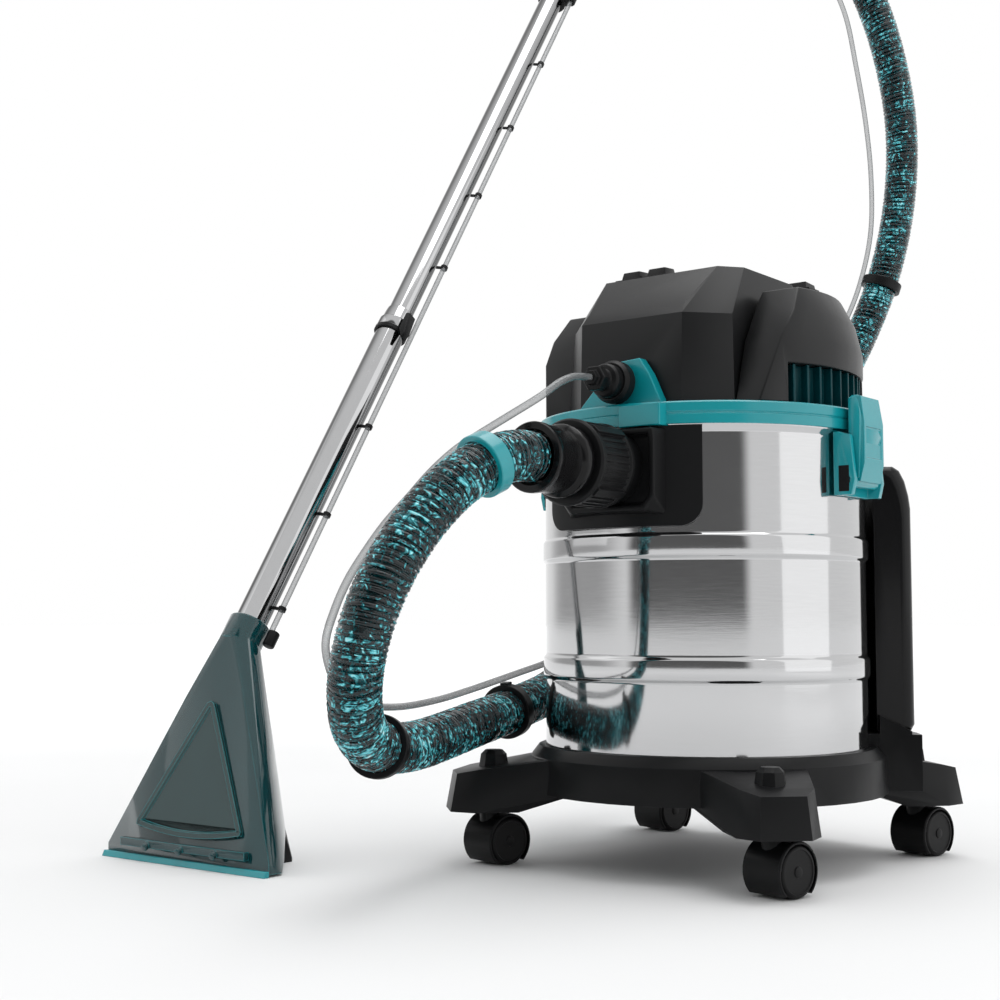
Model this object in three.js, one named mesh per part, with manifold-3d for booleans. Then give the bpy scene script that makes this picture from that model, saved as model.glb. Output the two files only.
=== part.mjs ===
// Wet-and-dry carpet cleaner: a wheeled steel drum with a lift-off motor head, a clean-solution tank
// at its back, and a clear suction hose with a long wand and a carpet nozzle.
// Millimetres, +Z up, the suction inlet faces -Y, and the floor is z = 0 below the drum's axis.
import * as THREE from 'three';
import { ConvexGeometry } from 'three/addons/geometries/ConvexGeometry.js';
import { mergeVertices } from 'three/addons/utils/BufferGeometryUtils.js';
import Module from 'manifold-3d';

const wasm = await Module();
wasm.setup();

// ---------------------------------------------------------------- driving dimensions
const GAP = 0.3;                 // clearance between pieces that touch
const WHEEL_R = 21.5;
const WHEEL_OUT = 19.5;          // half of the width across both wheels
const WHEEL_IN = 4.2;
const HOOD_T = 2.4;
const TRAIL = 9;
const AXLE_R = 3.6;
const STEM_R = 5;
const AXLE_TURN = -12;           // degrees, how the wheels stand at rest

const ARM_BOTTOM = 2 * WHEEL_R + 7;
const ARM_TIP_TOP = ARM_BOTTOM + 38;
const ARM_HALF = 35;
const POST_TOP = ARM_TIP_TOP + 16;
const STEM_TOP = ARM_BOTTOM + 22;
const BASE_BOTTOM = ARM_BOTTOM + 16;
const BASE_TOP = BASE_BOTTOM + 41;
const BASE_FLARE = 16;           // how far the base reaches past the drum

const DRUM_R = 150;              // outer radius of the steel drum
const DRUM_HEIGHT = 298;
const DRUM_WALL = 1.6;
const DRUM_BOTTOM = BASE_TOP - 9;
const DRUM_TOP = DRUM_BOTTOM + DRUM_HEIGHT;
const DRUM_RIM = 3;              // how far the rolled rim stands out
const BEAD_PROUD = 2.2;          // how far the rolled bands stand out
const BAND_LOW = DRUM_BOTTOM + 82;
const BAND_HIGH = DRUM_TOP - 109;
const BAND_HALF = 11;
const CASTER_R = DRUM_R + 55;    // swivel axes, from the drum's axis
const ARM_TIP_R = CASTER_R + 38;

const COLLAR_R = DRUM_R + 6;
const COLLAR_IN = DRUM_R - 12;
const COLLAR_TOP = DRUM_TOP + 15;
const COLLAR_SKIRT = DRUM_TOP - 5;
const GASKET_H = 3.4;

const HEAD_X = 88;               // half width of the head's middle block
const HEAD_FLAT = HEAD_X - 35;   // half width of its front face
const HEAD_Y = DRUM_R - 22;
const HEAD_BACK = HEAD_Y - 6;
const HEAD_CHIN = COLLAR_TOP + 81;   // top of the front face
const HEAD_BROW = COLLAR_TOP + 92;
const HEAD_TOP = COLLAR_TOP + 130;
const HEAD_WALL = 4;

const SHROUD_R = DRUM_R;
const SHROUD_SHOULDER = COLLAR_TOP + 69;
const SHROUD_TOP = COLLAR_TOP + 108;
const VENT_TOP = COLLAR_TOP + 35;

const MOTOR_R = 50;
const MOTOR_BOTTOM = COLLAR_TOP + 21;
const MOTOR_TOP = HEAD_TOP - 19;
const SHAFT_R = 5;
const PLATE_T = 4;
const INTAKE_R = 20;
const CAGE_R = 42;
const CAGE_BOTTOM = DRUM_TOP - 91;
const BALL_R = 24;

const INLET_Z = DRUM_TOP - 41;   // axis of the suction inlet
const INLET_PLATE_TURN = 30;     // degrees each side of the front
const INLET_PLATE_BOTTOM = INLET_Z - 52;
const INLET_FACE = DRUM_R + 16;  // front of the inlet's boss, from the drum's axis
const BORE_R = 18.5;             // free way through the inlet's pieces
const CUFF_R = BORE_R + 8.5;
const LOCK_R = CUFF_R + 9.5;
const SOCKET_END = INLET_FACE + 24;
const LOCK_END = INLET_FACE + 60;
const CUFF_END = LOCK_END + 50;
const HOSE_D = 44;
const TUBE_D = 6.5;

const LATCH_X = DRUM_R + 12;     // pivot of the side latches
const LATCH_Z = DRUM_TOP - 51;
const LATCH_HALF = 23;
const LATCH_TOP = COLLAR_TOP + 10;

const TANK_IN = DRUM_R + 8.5;
const TANK_OUT = TANK_IN + 36;
const TANK_TURN = 58;            // degrees each side of the back
const TANK_STEP = 8;             // how far the tank's top stands in
const TANK_BOTTOM = BASE_TOP + 11;
const TANK_TOP = DRUM_TOP - 28;
const TANK_WALL = 3;
const SPOUT_R = 12;
const SPOUT_Y = (TANK_IN + TANK_OUT) / 2 - 1.5;
const CAP_WALL = 1.5;

const PLUG_Z = COLLAR_TOP + 20;  // solution outlet on the head
const PLUG_R = 6.4;
const SLEEVE_R = 19;
const CORD_Z = COLLAR_TOP + 44;

const WAND_X = -356;
const WAND_LEAN = 32.7;          // degrees from upright
const LIP_Y = -325;              // front of the nozzle's mouth
const LIP_HALF = 109;
const LOWER_LENGTH = 388;
const LOWER_R = 15.6;
const NECK_R = LOWER_R + 4.9;
const NECK = new THREE.Vector3(WAND_X, LIP_Y + 52.5 + NECK_R, 213);
const TUBE_WALL = 1.6;
const UPPER_R = LOWER_R - 2;
const UPPER_START = LOWER_LENGTH - 48;
const UPPER_END = 965;

const rad = THREE.MathUtils.degToRad;

// ---------------------------------------------------------------- materials
function paint(color, roughness, metalness = 0) {
  return new THREE.MeshStandardMaterial({ color, roughness, metalness });
}
const satinBlack = paint(0x1b1c1e, 0.45);
const glossBlack = paint(0x0c0c0e, 0.15);
const rubberBlack = paint(0x101112, 0.8);
const teal = paint(0x0a8f9c, 0.3);
const clearTeal = paint(0x0d5f68, 0.12);
const steel = paint(0xc9ccd0, 0.12, 1);
const chrome = paint(0xd8dadd, 0.08, 1);
const clearPlastic = paint(0xcfd6d8, 0.1);
const greyMetal = paint(0x8b8f94, 0.4, 1);
const white = paint(0xe6e8ea, 0.5);

// ---------------------------------------------------------------- solid helpers
function toSolid(geometry) {
  const bare = (geometry.index ? geometry.toNonIndexed() : geometry).clone();
  for (const key of Object.keys(bare.attributes)) {
    if (key !== 'position') bare.deleteAttribute(key);
  }
  const welded = mergeVertices(bare, 1e-4);
  const index = welded.index.array;
  const kept = [];
  for (let i = 0; i < index.length; i += 3) {
    const [a, b, c] = [index[i], index[i + 1], index[i + 2]];
    if (a !== b && b !== c && c !== a) kept.push(a, b, c);
  }
  const mesh = new wasm.Mesh({
    numProp: 3,
    vertProperties: new Float32Array(welded.attributes.position.array),
    triVerts: new Uint32Array(kept),
  });
  const solid = new wasm.Manifold(mesh);
  if (solid.volume() > 0) return solid;
  for (let i = 0; i < kept.length; i += 3) [kept[i + 1], kept[i + 2]] = [kept[i + 2], kept[i + 1]];
  mesh.triVerts = new Uint32Array(kept);
  return new wasm.Manifold(mesh);
}

function toGeometry(solid) {
  const mesh = solid.getMesh();
  const geometry = new THREE.BufferGeometry();
  geometry.setAttribute('position', new THREE.BufferAttribute(mesh.vertProperties, 3));
  geometry.setIndex(new THREE.BufferAttribute(mesh.triVerts, 1));
  return geometry;
}

function cut(body, ...tools) {
  let solid = toSolid(body);
  for (const tool of tools) solid = solid.subtract(toSolid(tool));
  return toGeometry(solid);
}

function join(body, ...others) {
  let solid = toSolid(body);
  for (const other of others) solid = solid.add(toSolid(other));
  return toGeometry(solid);
}

// A box given by its lowest and highest corner.
function block(x0, y0, z0, x1, y1, z1) {
  const box = new THREE.BoxGeometry(x1 - x0, y1 - y0, z1 - z0);
  return box.translate((x0 + x1) / 2, (y0 + y1) / 2, (z0 + z1) / 2);
}

// A turned piece about +Z: its outline is a list of [radius, height] that closes on itself or on the axis.
function turned(outline, segments = 48) {
  const points = outline.map(([r, z]) => new THREE.Vector2(r, z));
  return new THREE.LatheGeometry(points, segments).rotateX(Math.PI / 2);
}

function ring(rIn, rOut, z0, z1, segments = 48) {
  return turned([[rIn, z0], [rOut, z0], [rOut, z1], [rIn, z1], [rIn, z0]], segments);
}

// A disc about +Z whose rim is chamfered at both ends.
function disc(r, z0, z1, chamfer = 0, segments = 48) {
  if (!chamfer) return turned([[0, z0], [r, z0], [r, z1], [0, z1]], segments);
  return turned([[0, z0], [r - chamfer, z0], [r, z0 + chamfer], [r, z1 - chamfer], [r - chamfer, z1], [0, z1]],
    segments);
}

function hull(points) {
  return new ConvexGeometry(points.map(([x, y, z]) => new THREE.Vector3(x, y, z)));
}

// A piece drawn standing on its own axis, laid along -Y at height z.
function layForward(geometry, z) {
  return geometry.rotateX(Math.PI / 2).translate(0, 0, z);
}

// The sector of a ring between two angles from +X, in degrees.
function sector(rIn, rOut, z0, z1, from, to, steps = 16) {
  const shape = new THREE.Shape();
  for (let i = 0; i <= steps; i += 1) {
    const a = rad(from + ((to - from) * i) / steps);
    if (i === 0) shape.moveTo(rOut * Math.cos(a), rOut * Math.sin(a));
    else shape.lineTo(rOut * Math.cos(a), rOut * Math.sin(a));
  }
  for (let i = steps; i >= 0; i -= 1) {
    const a = rad(from + ((to - from) * i) / steps);
    shape.lineTo(rIn * Math.cos(a), rIn * Math.sin(a));
  }
  shape.closePath();
  return new THREE.ExtrudeGeometry(shape, { depth: z1 - z0, bevelEnabled: false }).translate(0, 0, z0);
}

// A round bar swept along a smooth line through the given points.
function swept(points, radius, sides, steps) {
  const curve = new THREE.CatmullRomCurve3(points.map((p) => new THREE.Vector3(...p)), false, 'centripetal');
  const section = new THREE.Shape();
  for (let i = 0; i < sides; i += 1) {
    const a = (2 * Math.PI * i) / sides;
    if (i === 0) section.moveTo(radius * Math.cos(a), radius * Math.sin(a));
    else section.lineTo(radius * Math.cos(a), radius * Math.sin(a));
  }
  section.closePath();
  return new THREE.ExtrudeGeometry(section, { steps, bevelEnabled: false, extrudePath: curve });
}

const object = new THREE.Group();
function add(name, geometry, material) {
  const mesh = new THREE.Mesh(geometry, material);
  mesh.name = name;
  object.add(mesh);
  return mesh;
}

// ---------------------------------------------------------------- base and drum
const ARM_ANGLES = { front_right: -45, front_left: -135, rear_right: 45, rear_left: 135 };

function arm(angle) {
  const corners = [];
  for (const side of [-1, 1]) {
    corners.push([DRUM_R - 20, side * ARM_HALF * 1.5, BASE_BOTTOM + 2]);
    corners.push([DRUM_R - 20, side * ARM_HALF * 1.5, BASE_TOP - 6]);
    corners.push([CASTER_R - 22, side * ARM_HALF, ARM_BOTTOM]);
    corners.push([ARM_TIP_R - 20, side * ARM_HALF, ARM_BOTTOM]);
    corners.push([ARM_TIP_R, side * (ARM_HALF - 14), ARM_BOTTOM]);
    corners.push([ARM_TIP_R - 24, side * (ARM_HALF - 4), ARM_TIP_TOP]);
    corners.push([ARM_TIP_R - 6, side * (ARM_HALF - 16), ARM_TIP_TOP - 4]);
    corners.push([CASTER_R - 22, side * (ARM_HALF - 3), ARM_TIP_TOP + 6]);
  }
  const post = turned([[0, ARM_TIP_TOP - 8], [15, ARM_TIP_TOP - 8], [12, POST_TOP - 4], [8, POST_TOP],
    [0, POST_TOP]], 8).translate(CASTER_R - 4, 0, 0);
  return join(hull(corners), post).rotateZ(rad(angle));
}

function base() {
  const bowl = turned([[0, DRUM_BOTTOM - 12], [DRUM_R - 12, DRUM_BOTTOM - 12], [DRUM_R - 4, BASE_BOTTOM],
    [DRUM_R + BASE_FLARE, BASE_BOTTOM], [DRUM_R + BASE_FLARE - 2, BASE_TOP - 9], [DRUM_R + 7, BASE_TOP],
    [0, BASE_TOP]], 36);
  const shelf = sector(DRUM_R - 10, TANK_OUT + 3, BASE_BOTTOM, TANK_BOTTOM - GAP,
    90 - TANK_TURN - 4, 90 + TANK_TURN + 4, 14);
  const ribs = [90 - TANK_TURN - 3.2, 90 + TANK_TURN + 3.2].map((a) => hull([
    [DRUM_R + 8, -2.5, BASE_BOTTOM + 4], [DRUM_R + 8, 2.5, BASE_BOTTOM + 4],
    [TANK_OUT - 4, -2.5, BASE_BOTTOM + 4], [TANK_OUT - 4, 2.5, BASE_BOTTOM + 4],
    [DRUM_R + 10, -2.5, BASE_TOP + 28], [DRUM_R + 10, 2.5, BASE_TOP + 28],
    [TANK_OUT - 6, -2.5, BASE_TOP + 14], [TANK_OUT - 6, 2.5, BASE_TOP + 14],
  ]).rotateZ(rad(a)));
  const arms = Object.values(ARM_ANGLES).map(arm);
  const seat = disc(DRUM_R + GAP * 2, DRUM_BOTTOM - GAP, BASE_TOP + 60, 0, 36);
  const under = turned([[0, ARM_BOTTOM - 5], [DRUM_R - 6, ARM_BOTTOM - 5], [DRUM_R - 16, DRUM_BOTTOM - 14],
    [0, DRUM_BOTTOM - 14]], 24);
  const sockets = Object.values(ARM_ANGLES).map((a) => disc(STEM_R + GAP, ARM_BOTTOM - 10, STEM_TOP + GAP, 0, 12)
    .translate(CASTER_R, 0, 0).rotateZ(rad(a)));
  return cut(join(bowl, shelf, ...ribs, ...arms), seat, under, ...sockets);
}

function drum() {
  const inner = DRUM_R - DRUM_WALL;
  const outline = [[0, DRUM_BOTTOM], [DRUM_R - 6, DRUM_BOTTOM], [DRUM_R, DRUM_BOTTOM + 6]];
  for (const band of [BAND_LOW, BAND_HIGH]) {
    for (const [dz, dr] of [[-1, 0], [-0.6, 1], [0.6, 1], [1, 0]]) {
      outline.push([DRUM_R + dr * BEAD_PROUD, band + dz * BAND_HALF]);
    }
  }
  outline.push([DRUM_R, DRUM_TOP - 10], [DRUM_R + DRUM_RIM, DRUM_TOP - 5], [DRUM_R + DRUM_RIM - 1, DRUM_TOP],
    [inner - 4, DRUM_TOP], [inner, DRUM_TOP - 5], [inner, DRUM_BOTTOM + 2.4], [0, DRUM_BOTTOM + 2.4]);
  const inletHole = layForward(disc(BORE_R, DRUM_R - 20, DRUM_R + 20, 0, 20), INLET_Z);
  return cut(turned(outline, 36), inletHole);
}

add('base', base(), satinBlack);
add('drum', drum(), steel);

// ---------------------------------------------------------------- casters
function wheels() {
  const side = [[0, -WHEEL_OUT], [WHEEL_R - 2, -WHEEL_OUT], [WHEEL_R, -WHEEL_OUT + 2.5],
    [WHEEL_R, -WHEEL_IN], [AXLE_R, -WHEEL_IN]];
  const other = side.map(([r, z]) => [r, -z]).reverse();
  return turned([...side, ...other], 16).rotateY(Math.PI / 2);
}

function hood() {
  const r = WHEEL_R + 1 + HOOD_T;
  const drumShape = disc(r, -WHEEL_OUT, WHEEL_OUT, 1.5, 18).rotateY(Math.PI / 2);
  const wells = [-1, 1].map((s) => disc(WHEEL_R + 1, WHEEL_IN - 0.6, WHEEL_OUT + 5, 0, 18)
    .rotateY((s * Math.PI) / 2));
  const open = block(-40, -40, -40, 40, 40, -WHEEL_R + 2.5);
  const sides = [-1, 1].map((s) => block(s > 0 ? WHEEL_IN - 0.6 : -40, -40, -40, s > 0 ? 40 : -WHEEL_IN + 0.6,
    40, 3));
  const front = block(-40, -40, -40, 40, -9, 3);
  const bore = disc(AXLE_R + GAP * 2, -30, 30, 0, 12).rotateY(Math.PI / 2);
  const stem = disc(STEM_R, 0, STEM_TOP - WHEEL_R, 0.8, 12).translate(0, -TRAIL, 0);
  const neck = disc(9, WHEEL_R - 6, WHEEL_R + 5, 0, 12).translate(0, -TRAIL, 0);
  return cut(join(drumShape, stem, neck), ...wells, ...sides, open, front, bore);
}

function atCaster(geometry, angle) {
  const x = CASTER_R * Math.cos(rad(angle));
  const y = CASTER_R * Math.sin(rad(angle));
  return geometry.translate(0, TRAIL, WHEEL_R).rotateZ(rad(AXLE_TURN)).translate(x, y, 0);
}

for (const [place, angle] of Object.entries(ARM_ANGLES)) {
  add(`caster_fork_${place}`, atCaster(hood(), angle), satinBlack);
  add(`caster_wheels_${place}`, atCaster(wheels(), angle), rubberBlack);
}

// ---------------------------------------------------------------- suction inlet
function inletPlate() {
  const plate = sector(DRUM_R - 4, DRUM_R + 8, INLET_PLATE_BOTTOM, COLLAR_SKIRT - 2,
    -90 - INLET_PLATE_TURN, -90 + INLET_PLATE_TURN);
  const boss = hull([-1, 1].flatMap((s) => [[s * 50, 26 - INLET_FACE, INLET_Z + 34], [s * 50, 26 - INLET_FACE, INLET_Z - 44],
    [s * 44, -INLET_FACE, INLET_Z + 34], [s * 48, -INLET_FACE, INLET_Z + 24],
    [s * 48, -INLET_FACE, INLET_Z - 28], [s * 38, -INLET_FACE, INLET_Z - 40]]));
  const clear = disc(DRUM_R + BEAD_PROUD + GAP, 0, 600, 0, 64);
  const well = layForward(disc(LOCK_R + 2, INLET_FACE - 6, INLET_FACE + 20), INLET_Z);
  const top = block(-COLLAR_R, -2 * DRUM_R, COLLAR_SKIRT - 2, COLLAR_R, 0, HEAD_TOP);
  const way = layForward(disc(BORE_R, DRUM_R - 30, LOCK_END, 0, 20), INLET_Z);
  return cut(join(plate, boss), clear, well, top, way);
}

function inletSocket() {
  const flange = layForward(disc(LOCK_R - 3, INLET_FACE - 6 + GAP, INLET_FACE + 8, 1, 20), INLET_Z);
  const spigot = layForward(disc(CUFF_R + 3, INLET_FACE, SOCKET_END, 1, 20), INLET_Z);
  const way = layForward(disc(BORE_R, DRUM_R - 30, LOCK_END, 0, 20), INLET_Z);
  return cut(join(flange, spigot), way);
}

function lockingRing() {
  const body = layForward(disc(LOCK_R, INLET_FACE + 10, LOCK_END, 2, 20), INLET_Z);
  const seat = layForward(disc(CUFF_R + 3 + GAP * 2, DRUM_R, SOCKET_END + GAP, 0, 20), INLET_Z);
  const way = layForward(disc(CUFF_R + GAP * 3, DRUM_R, CUFF_END, 0, 20), INLET_Z);
  const ribs = [];
  for (let i = 0; i < 12; i += 1) {
    ribs.push(block(-2.2, -LOCK_END + 4, LOCK_R - 2, 2.2, -INLET_FACE - 14, LOCK_R + 2)
      .rotateY(rad(30 * i)).translate(0, 0, INLET_Z));
  }
  return cut(join(body, ...ribs), seat, way);
}

function hoseCuff() {
  const body = layForward(turned([[BORE_R, SOCKET_END + GAP * 2], [CUFF_R, SOCKET_END + GAP * 2],
    [CUFF_R, LOCK_END + 2], [CUFF_R + 4, LOCK_END + 4], [CUFF_R + 4, LOCK_END + 12], [CUFF_R, LOCK_END + 16],
    [CUFF_R, CUFF_END - 3], [CUFF_R - 3, CUFF_END], [BORE_R, CUFF_END], [BORE_R, SOCKET_END + GAP * 2]], 20),
  INLET_Z);
  return body;
}

add('inlet_plate', inletPlate(), satinBlack);
add('inlet_socket', inletSocket(), satinBlack);
add('locking_ring', lockingRing(), satinBlack);
add('hose_inlet_cuff', hoseCuff(), glossBlack);

// ---------------------------------------------------------------- side latches, drawn on the +X side
function latchBracket() {
  const z0 = LATCH_Z - 13;
  const plate = block(DRUM_R - 8, -LATCH_HALF - 8, z0, DRUM_R + 5.5, LATCH_HALF + 8, COLLAR_SKIRT - 3);
  const ears = [-1, 1].map((s) => {
    const y = s * (LATCH_HALF + 5);
    return hull([[DRUM_R, y - 3, z0], [DRUM_R, y + 3, z0], [LATCH_X + 4, y - 3, z0], [LATCH_X + 4, y + 3, z0],
      [LATCH_X + 7, y - 3, LATCH_Z], [LATCH_X + 7, y + 3, LATCH_Z], [LATCH_X + 3, y - 3, COLLAR_SKIRT - 6],
      [LATCH_X + 3, y + 3, COLLAR_SKIRT - 6], [DRUM_R, y - 3, COLLAR_SKIRT - 3],
      [DRUM_R, y + 3, COLLAR_SKIRT - 3]]);
  });
  const clear = disc(DRUM_R + BEAD_PROUD + GAP, 0, 600, 0, 64);
  const pivot = disc(3 + GAP, -60, 60, 0, 12).rotateX(Math.PI / 2).translate(LATCH_X, 0, LATCH_Z);
  return cut(join(plate, ...ears), clear, pivot);
}

function latchLever() {
  const half = LATCH_HALF;
  const cover = hull([-1, 1].flatMap((s) => [
    [LATCH_X - 2, s * (half - 1), LATCH_Z + 4], [LATCH_X + 7, s * (half - 1), LATCH_Z + 2],
    [LATCH_X - 2, s * (half - 1), LATCH_TOP - 3], [LATCH_X + 9, s * (half - 1), LATCH_TOP - 16],
    [LATCH_X + 5, s * (half - 5), LATCH_TOP], [LATCH_X + 12, s * (half - 8), LATCH_Z + 40],
    [LATCH_X, s * (half - 5), LATCH_TOP],
  ]));
  const hollow = block(LATCH_X - 20, -half + 5, LATCH_Z + 12, LATCH_X + 3, half - 5, LATCH_TOP - 10);
  const knuckle = disc(6, -half, half, 1, 12).rotateX(Math.PI / 2).translate(LATCH_X, 0, LATCH_Z);
  const pin = disc(3, -half - 7, half + 7, 0.4, 12).rotateX(Math.PI / 2).translate(LATCH_X, 0, LATCH_Z);
  const hook = hull([-1, 1].flatMap((s) => [[LATCH_X + 1, s * 14, LATCH_TOP - 9], [LATCH_X + 1, s * 14, LATCH_TOP],
    [COLLAR_R + 1, s * 12, COLLAR_TOP + 1], [COLLAR_R + 1, s * 12, LATCH_TOP - 1]]));
  return join(cut(join(cover, knuckle), hollow), pin, hook);
}

for (const [side, turn] of [['right', 0], ['left', Math.PI]]) {
  add(`latch_bracket_${side}`, latchBracket().rotateZ(turn), teal);
  add(`latch_lever_${side}`, latchLever().rotateZ(turn), teal);
}

// ---------------------------------------------------------------- clean-solution tank
function tank() {
  const [from, to] = [90 - TANK_TURN, 90 + TANK_TURN];
  const outer = [sector(TANK_IN, TANK_OUT, TANK_BOTTOM, TANK_TOP - 26, from, to, 12),
    sector(TANK_IN, TANK_OUT - TANK_STEP / 2, TANK_TOP - 27, TANK_TOP - 12, from, to, 12),
    sector(TANK_IN, TANK_OUT - TANK_STEP, TANK_TOP - 13, TANK_TOP, from, to, 12)];
  const cavity = sector(TANK_IN + TANK_WALL, TANK_OUT - TANK_STEP - TANK_WALL, TANK_BOTTOM + TANK_WALL,
    TANK_TOP - TANK_WALL, from + 2, to - 2, 12);
  const mouth = disc(SPOUT_R - 4, TANK_TOP - 20, TANK_TOP + 20, 0, 20).translate(0, SPOUT_Y, 0);
  const spout = disc(SPOUT_R, TANK_TOP - 4, TANK_TOP + 8, 0, 20).translate(0, SPOUT_Y, 0);
  return cut(join(...outer, spout), cavity, mouth);
}

function tankCap() {
  const top = TANK_TOP + 8;
  const skirt = SPOUT_R + GAP * 2;
  return turned([[0, top + GAP], [skirt, top + GAP], [skirt, TANK_TOP + 1], [skirt + CAP_WALL, TANK_TOP + 1],
    [skirt + CAP_WALL, top + 3], [skirt, top + 5], [0, top + 5]], 20).translate(0, SPOUT_Y, 0);
}

add('solution_tank', tank(), glossBlack);
add('tank_cap', tankCap(), satinBlack);

// ---------------------------------------------------------------- motor head
const PLATE_Z = COLLAR_TOP - 6;

function collar() {
  const band = turned([[COLLAR_IN, DRUM_TOP + GAP + GASKET_H + GAP], [DRUM_R + DRUM_RIM + GAP, DRUM_TOP + 4],
    [DRUM_R + DRUM_RIM + GAP, COLLAR_SKIRT], [COLLAR_R, COLLAR_SKIRT], [COLLAR_R, COLLAR_TOP - 1],
    [COLLAR_R - 1, COLLAR_TOP], [COLLAR_IN, COLLAR_TOP], [COLLAR_IN, DRUM_TOP + GAP + GASKET_H + GAP]], 36);
  const outlet = new THREE.Shape();
  outlet.moveTo(-46, COLLAR_TOP - 12);
  outlet.lineTo(-46, COLLAR_TOP + 1);
  outlet.lineTo(-8, PLUG_Z + 20);
  outlet.lineTo(18, PLUG_Z + 22);
  outlet.lineTo(28, PLUG_Z + 7);
  outlet.lineTo(40, COLLAR_TOP + 1);
  outlet.lineTo(40, COLLAR_TOP - 12);
  outlet.closePath();
  const front = new THREE.ExtrudeGeometry(outlet, { depth: 12, bevelEnabled: false })
    .rotateX(Math.PI / 2).translate(0, -HEAD_Y - GAP, 0);
  const tab = block(8, -COLLAR_R - 3, COLLAR_SKIRT - 1.5, 50, -COLLAR_R + 14, COLLAR_TOP - 2);
  const rim = disc(DRUM_R + DRUM_RIM + GAP, DRUM_TOP - 60, DRUM_TOP + GAP + GASKET_H + GAP, 0, 36);
  const inside = disc(COLLAR_IN, 0, PLATE_Z + PLATE_T + GAP, 0, 36);
  const plugHole = layForward(disc(PLUG_R + GAP, HEAD_Y - 20, COLLAR_R, 0, 24), PLUG_Z);
  return cut(join(band, front, tab), rim, inside, plugHole);
}

function headOutline(half, flat, y, back, z, inset) {
  return [[-flat, -y, z], [flat, -y, z], [half, -y + inset, z], [half, back - inset, z], [flat, back, z],
    [-flat, back, z], [-half, back - inset, z], [-half, -y + inset, z]];
}

function headShape(shrink) {
  const s = shrink;
  return hull([
    ...headOutline(HEAD_X - s, HEAD_FLAT - s / 2, HEAD_Y - s, HEAD_BACK - s, COLLAR_TOP + GAP - (s > 0 ? 5 : 0), 32),
    ...headOutline(HEAD_X - 4 - s, HEAD_FLAT - s / 2, HEAD_Y - 3 - s, HEAD_BACK - 10 - s, HEAD_CHIN - s, 34),
    ...headOutline(HEAD_X - 10 - s, HEAD_FLAT - 2 - s / 2, HEAD_Y - 12 - s, HEAD_BACK - 24 - s, HEAD_BROW - s, 32),
    ...headOutline(HEAD_X - 12 - s, HEAD_FLAT + 7 - s / 2, HEAD_Y - 54 - s, HEAD_BACK - 62 - s, HEAD_TOP - s, 20),
  ]);
}

const BUTTONS = { power_button: [-50, -28], pump_button: [-22, 0] };
const BUTTON_Y = [62 - HEAD_Y, 84 - HEAD_Y];

function housing() {
  const wells = Object.values(BUTTONS).map(([x0, x1]) => block(x0 - GAP, BUTTON_Y[0] - GAP, HEAD_TOP - 5,
    x1 + GAP, BUTTON_Y[1] + GAP, HEAD_TOP + 30));
  const frames = Object.values(BUTTONS).map(([x0, x1]) => block(x0 - 3, BUTTON_Y[0] - 3, HEAD_TOP - 8,
    x1 + 3, BUTTON_Y[1] + 3, HEAD_TOP + 2));
  const scoop = new THREE.CylinderGeometry(16, 16, 60, 24).rotateX(Math.PI / 2)
    .translate(22, 78 - HEAD_Y, HEAD_TOP + 12);
  const gland = disc(7 + GAP, HEAD_BACK - 32, HEAD_BACK + 18, 0, 20).rotateX(-Math.PI / 2).translate(0, 0, CORD_Z);
  const plugHole = layForward(disc(PLUG_R + GAP, HEAD_Y - 20, COLLAR_R, 0, 24), PLUG_Z);
  const shell = cut(headShape(0), headShape(HEAD_WALL), gland, plugHole);
  return cut(join(shell, ...frames), ...wells, scoop);
}

function shroudShape(shrink) {
  const s = shrink;
  const points = [];
  for (const [r, half, z] of [[SHROUD_R, 41, COLLAR_TOP + GAP], [SHROUD_R, 33, SHROUD_SHOULDER - 12],
    [SHROUD_R - 6, 26, SHROUD_SHOULDER + 14], [SHROUD_R - 19, 19, SHROUD_TOP]]) {
    for (let i = 0; i <= 8; i += 1) {
      const a = rad(-half + (2 * half * i) / 8);
      points.push([(r - s) * Math.cos(a), (r - s) * Math.sin(a), z - s]);
    }
    points.push([HEAD_X - 18, -(half * 2.3), z - s], [HEAD_X - 18, half * 2.3, z - s]);
  }
  return hull(points);
}

function shroud() {
  const middle = block(0, -2 * DRUM_R, DRUM_TOP, HEAD_X + GAP, 2 * DRUM_R, HEAD_TOP + 20);
  const vent = sector(SHROUD_R - 14, SHROUD_R + 10, COLLAR_TOP - 20, VENT_TOP, -30, 30, 12);
  return cut(shroudShape(0), middle, vent);
}

function grille() {
  const z0 = COLLAR_TOP + GAP;
  const z1 = VENT_TOP - GAP;
  const back = sector(SHROUD_R - 14 + GAP, SHROUD_R - 11, z0, z1, -29.5, 29.5, 12);
  const fins = [];
  for (let a = -27; a <= 27; a += 6) {
    fins.push(block(SHROUD_R - 12, -1.3, z0, SHROUD_R - 3, 1.3, z1).rotateZ(rad(a)));
  }
  return join(back, ...fins);
}

function handle() {
  const [x, y, z] = [HEAD_X, HEAD_BACK, HEAD_TOP];
  const grip = hull([-1, 1].flatMap((s) => [[s * (x - 8), y - 58, z - 9], [s * (x - 8), y - 34, z - 10],
    [s * (x - 11), y - 56, z + 8], [s * (x - 11), y - 37, z + 7]]));
  const legs = [-1, 1].map((s) => hull([-28, -6].flatMap((dx) => [[s * (x + dx), y - 46, z - 45],
    [s * (x + dx), y - 20, z - 45], [s * (x + dx - 1), y - 57, z + 2], [s * (x + dx - 1), y - 35, z + 2]])));
  const shrouds = [0, Math.PI].map((t) => shroudShape(-GAP * 2).rotateZ(t));
  return cut(join(grip, ...legs), headShape(-GAP), ...shrouds);
}

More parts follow.
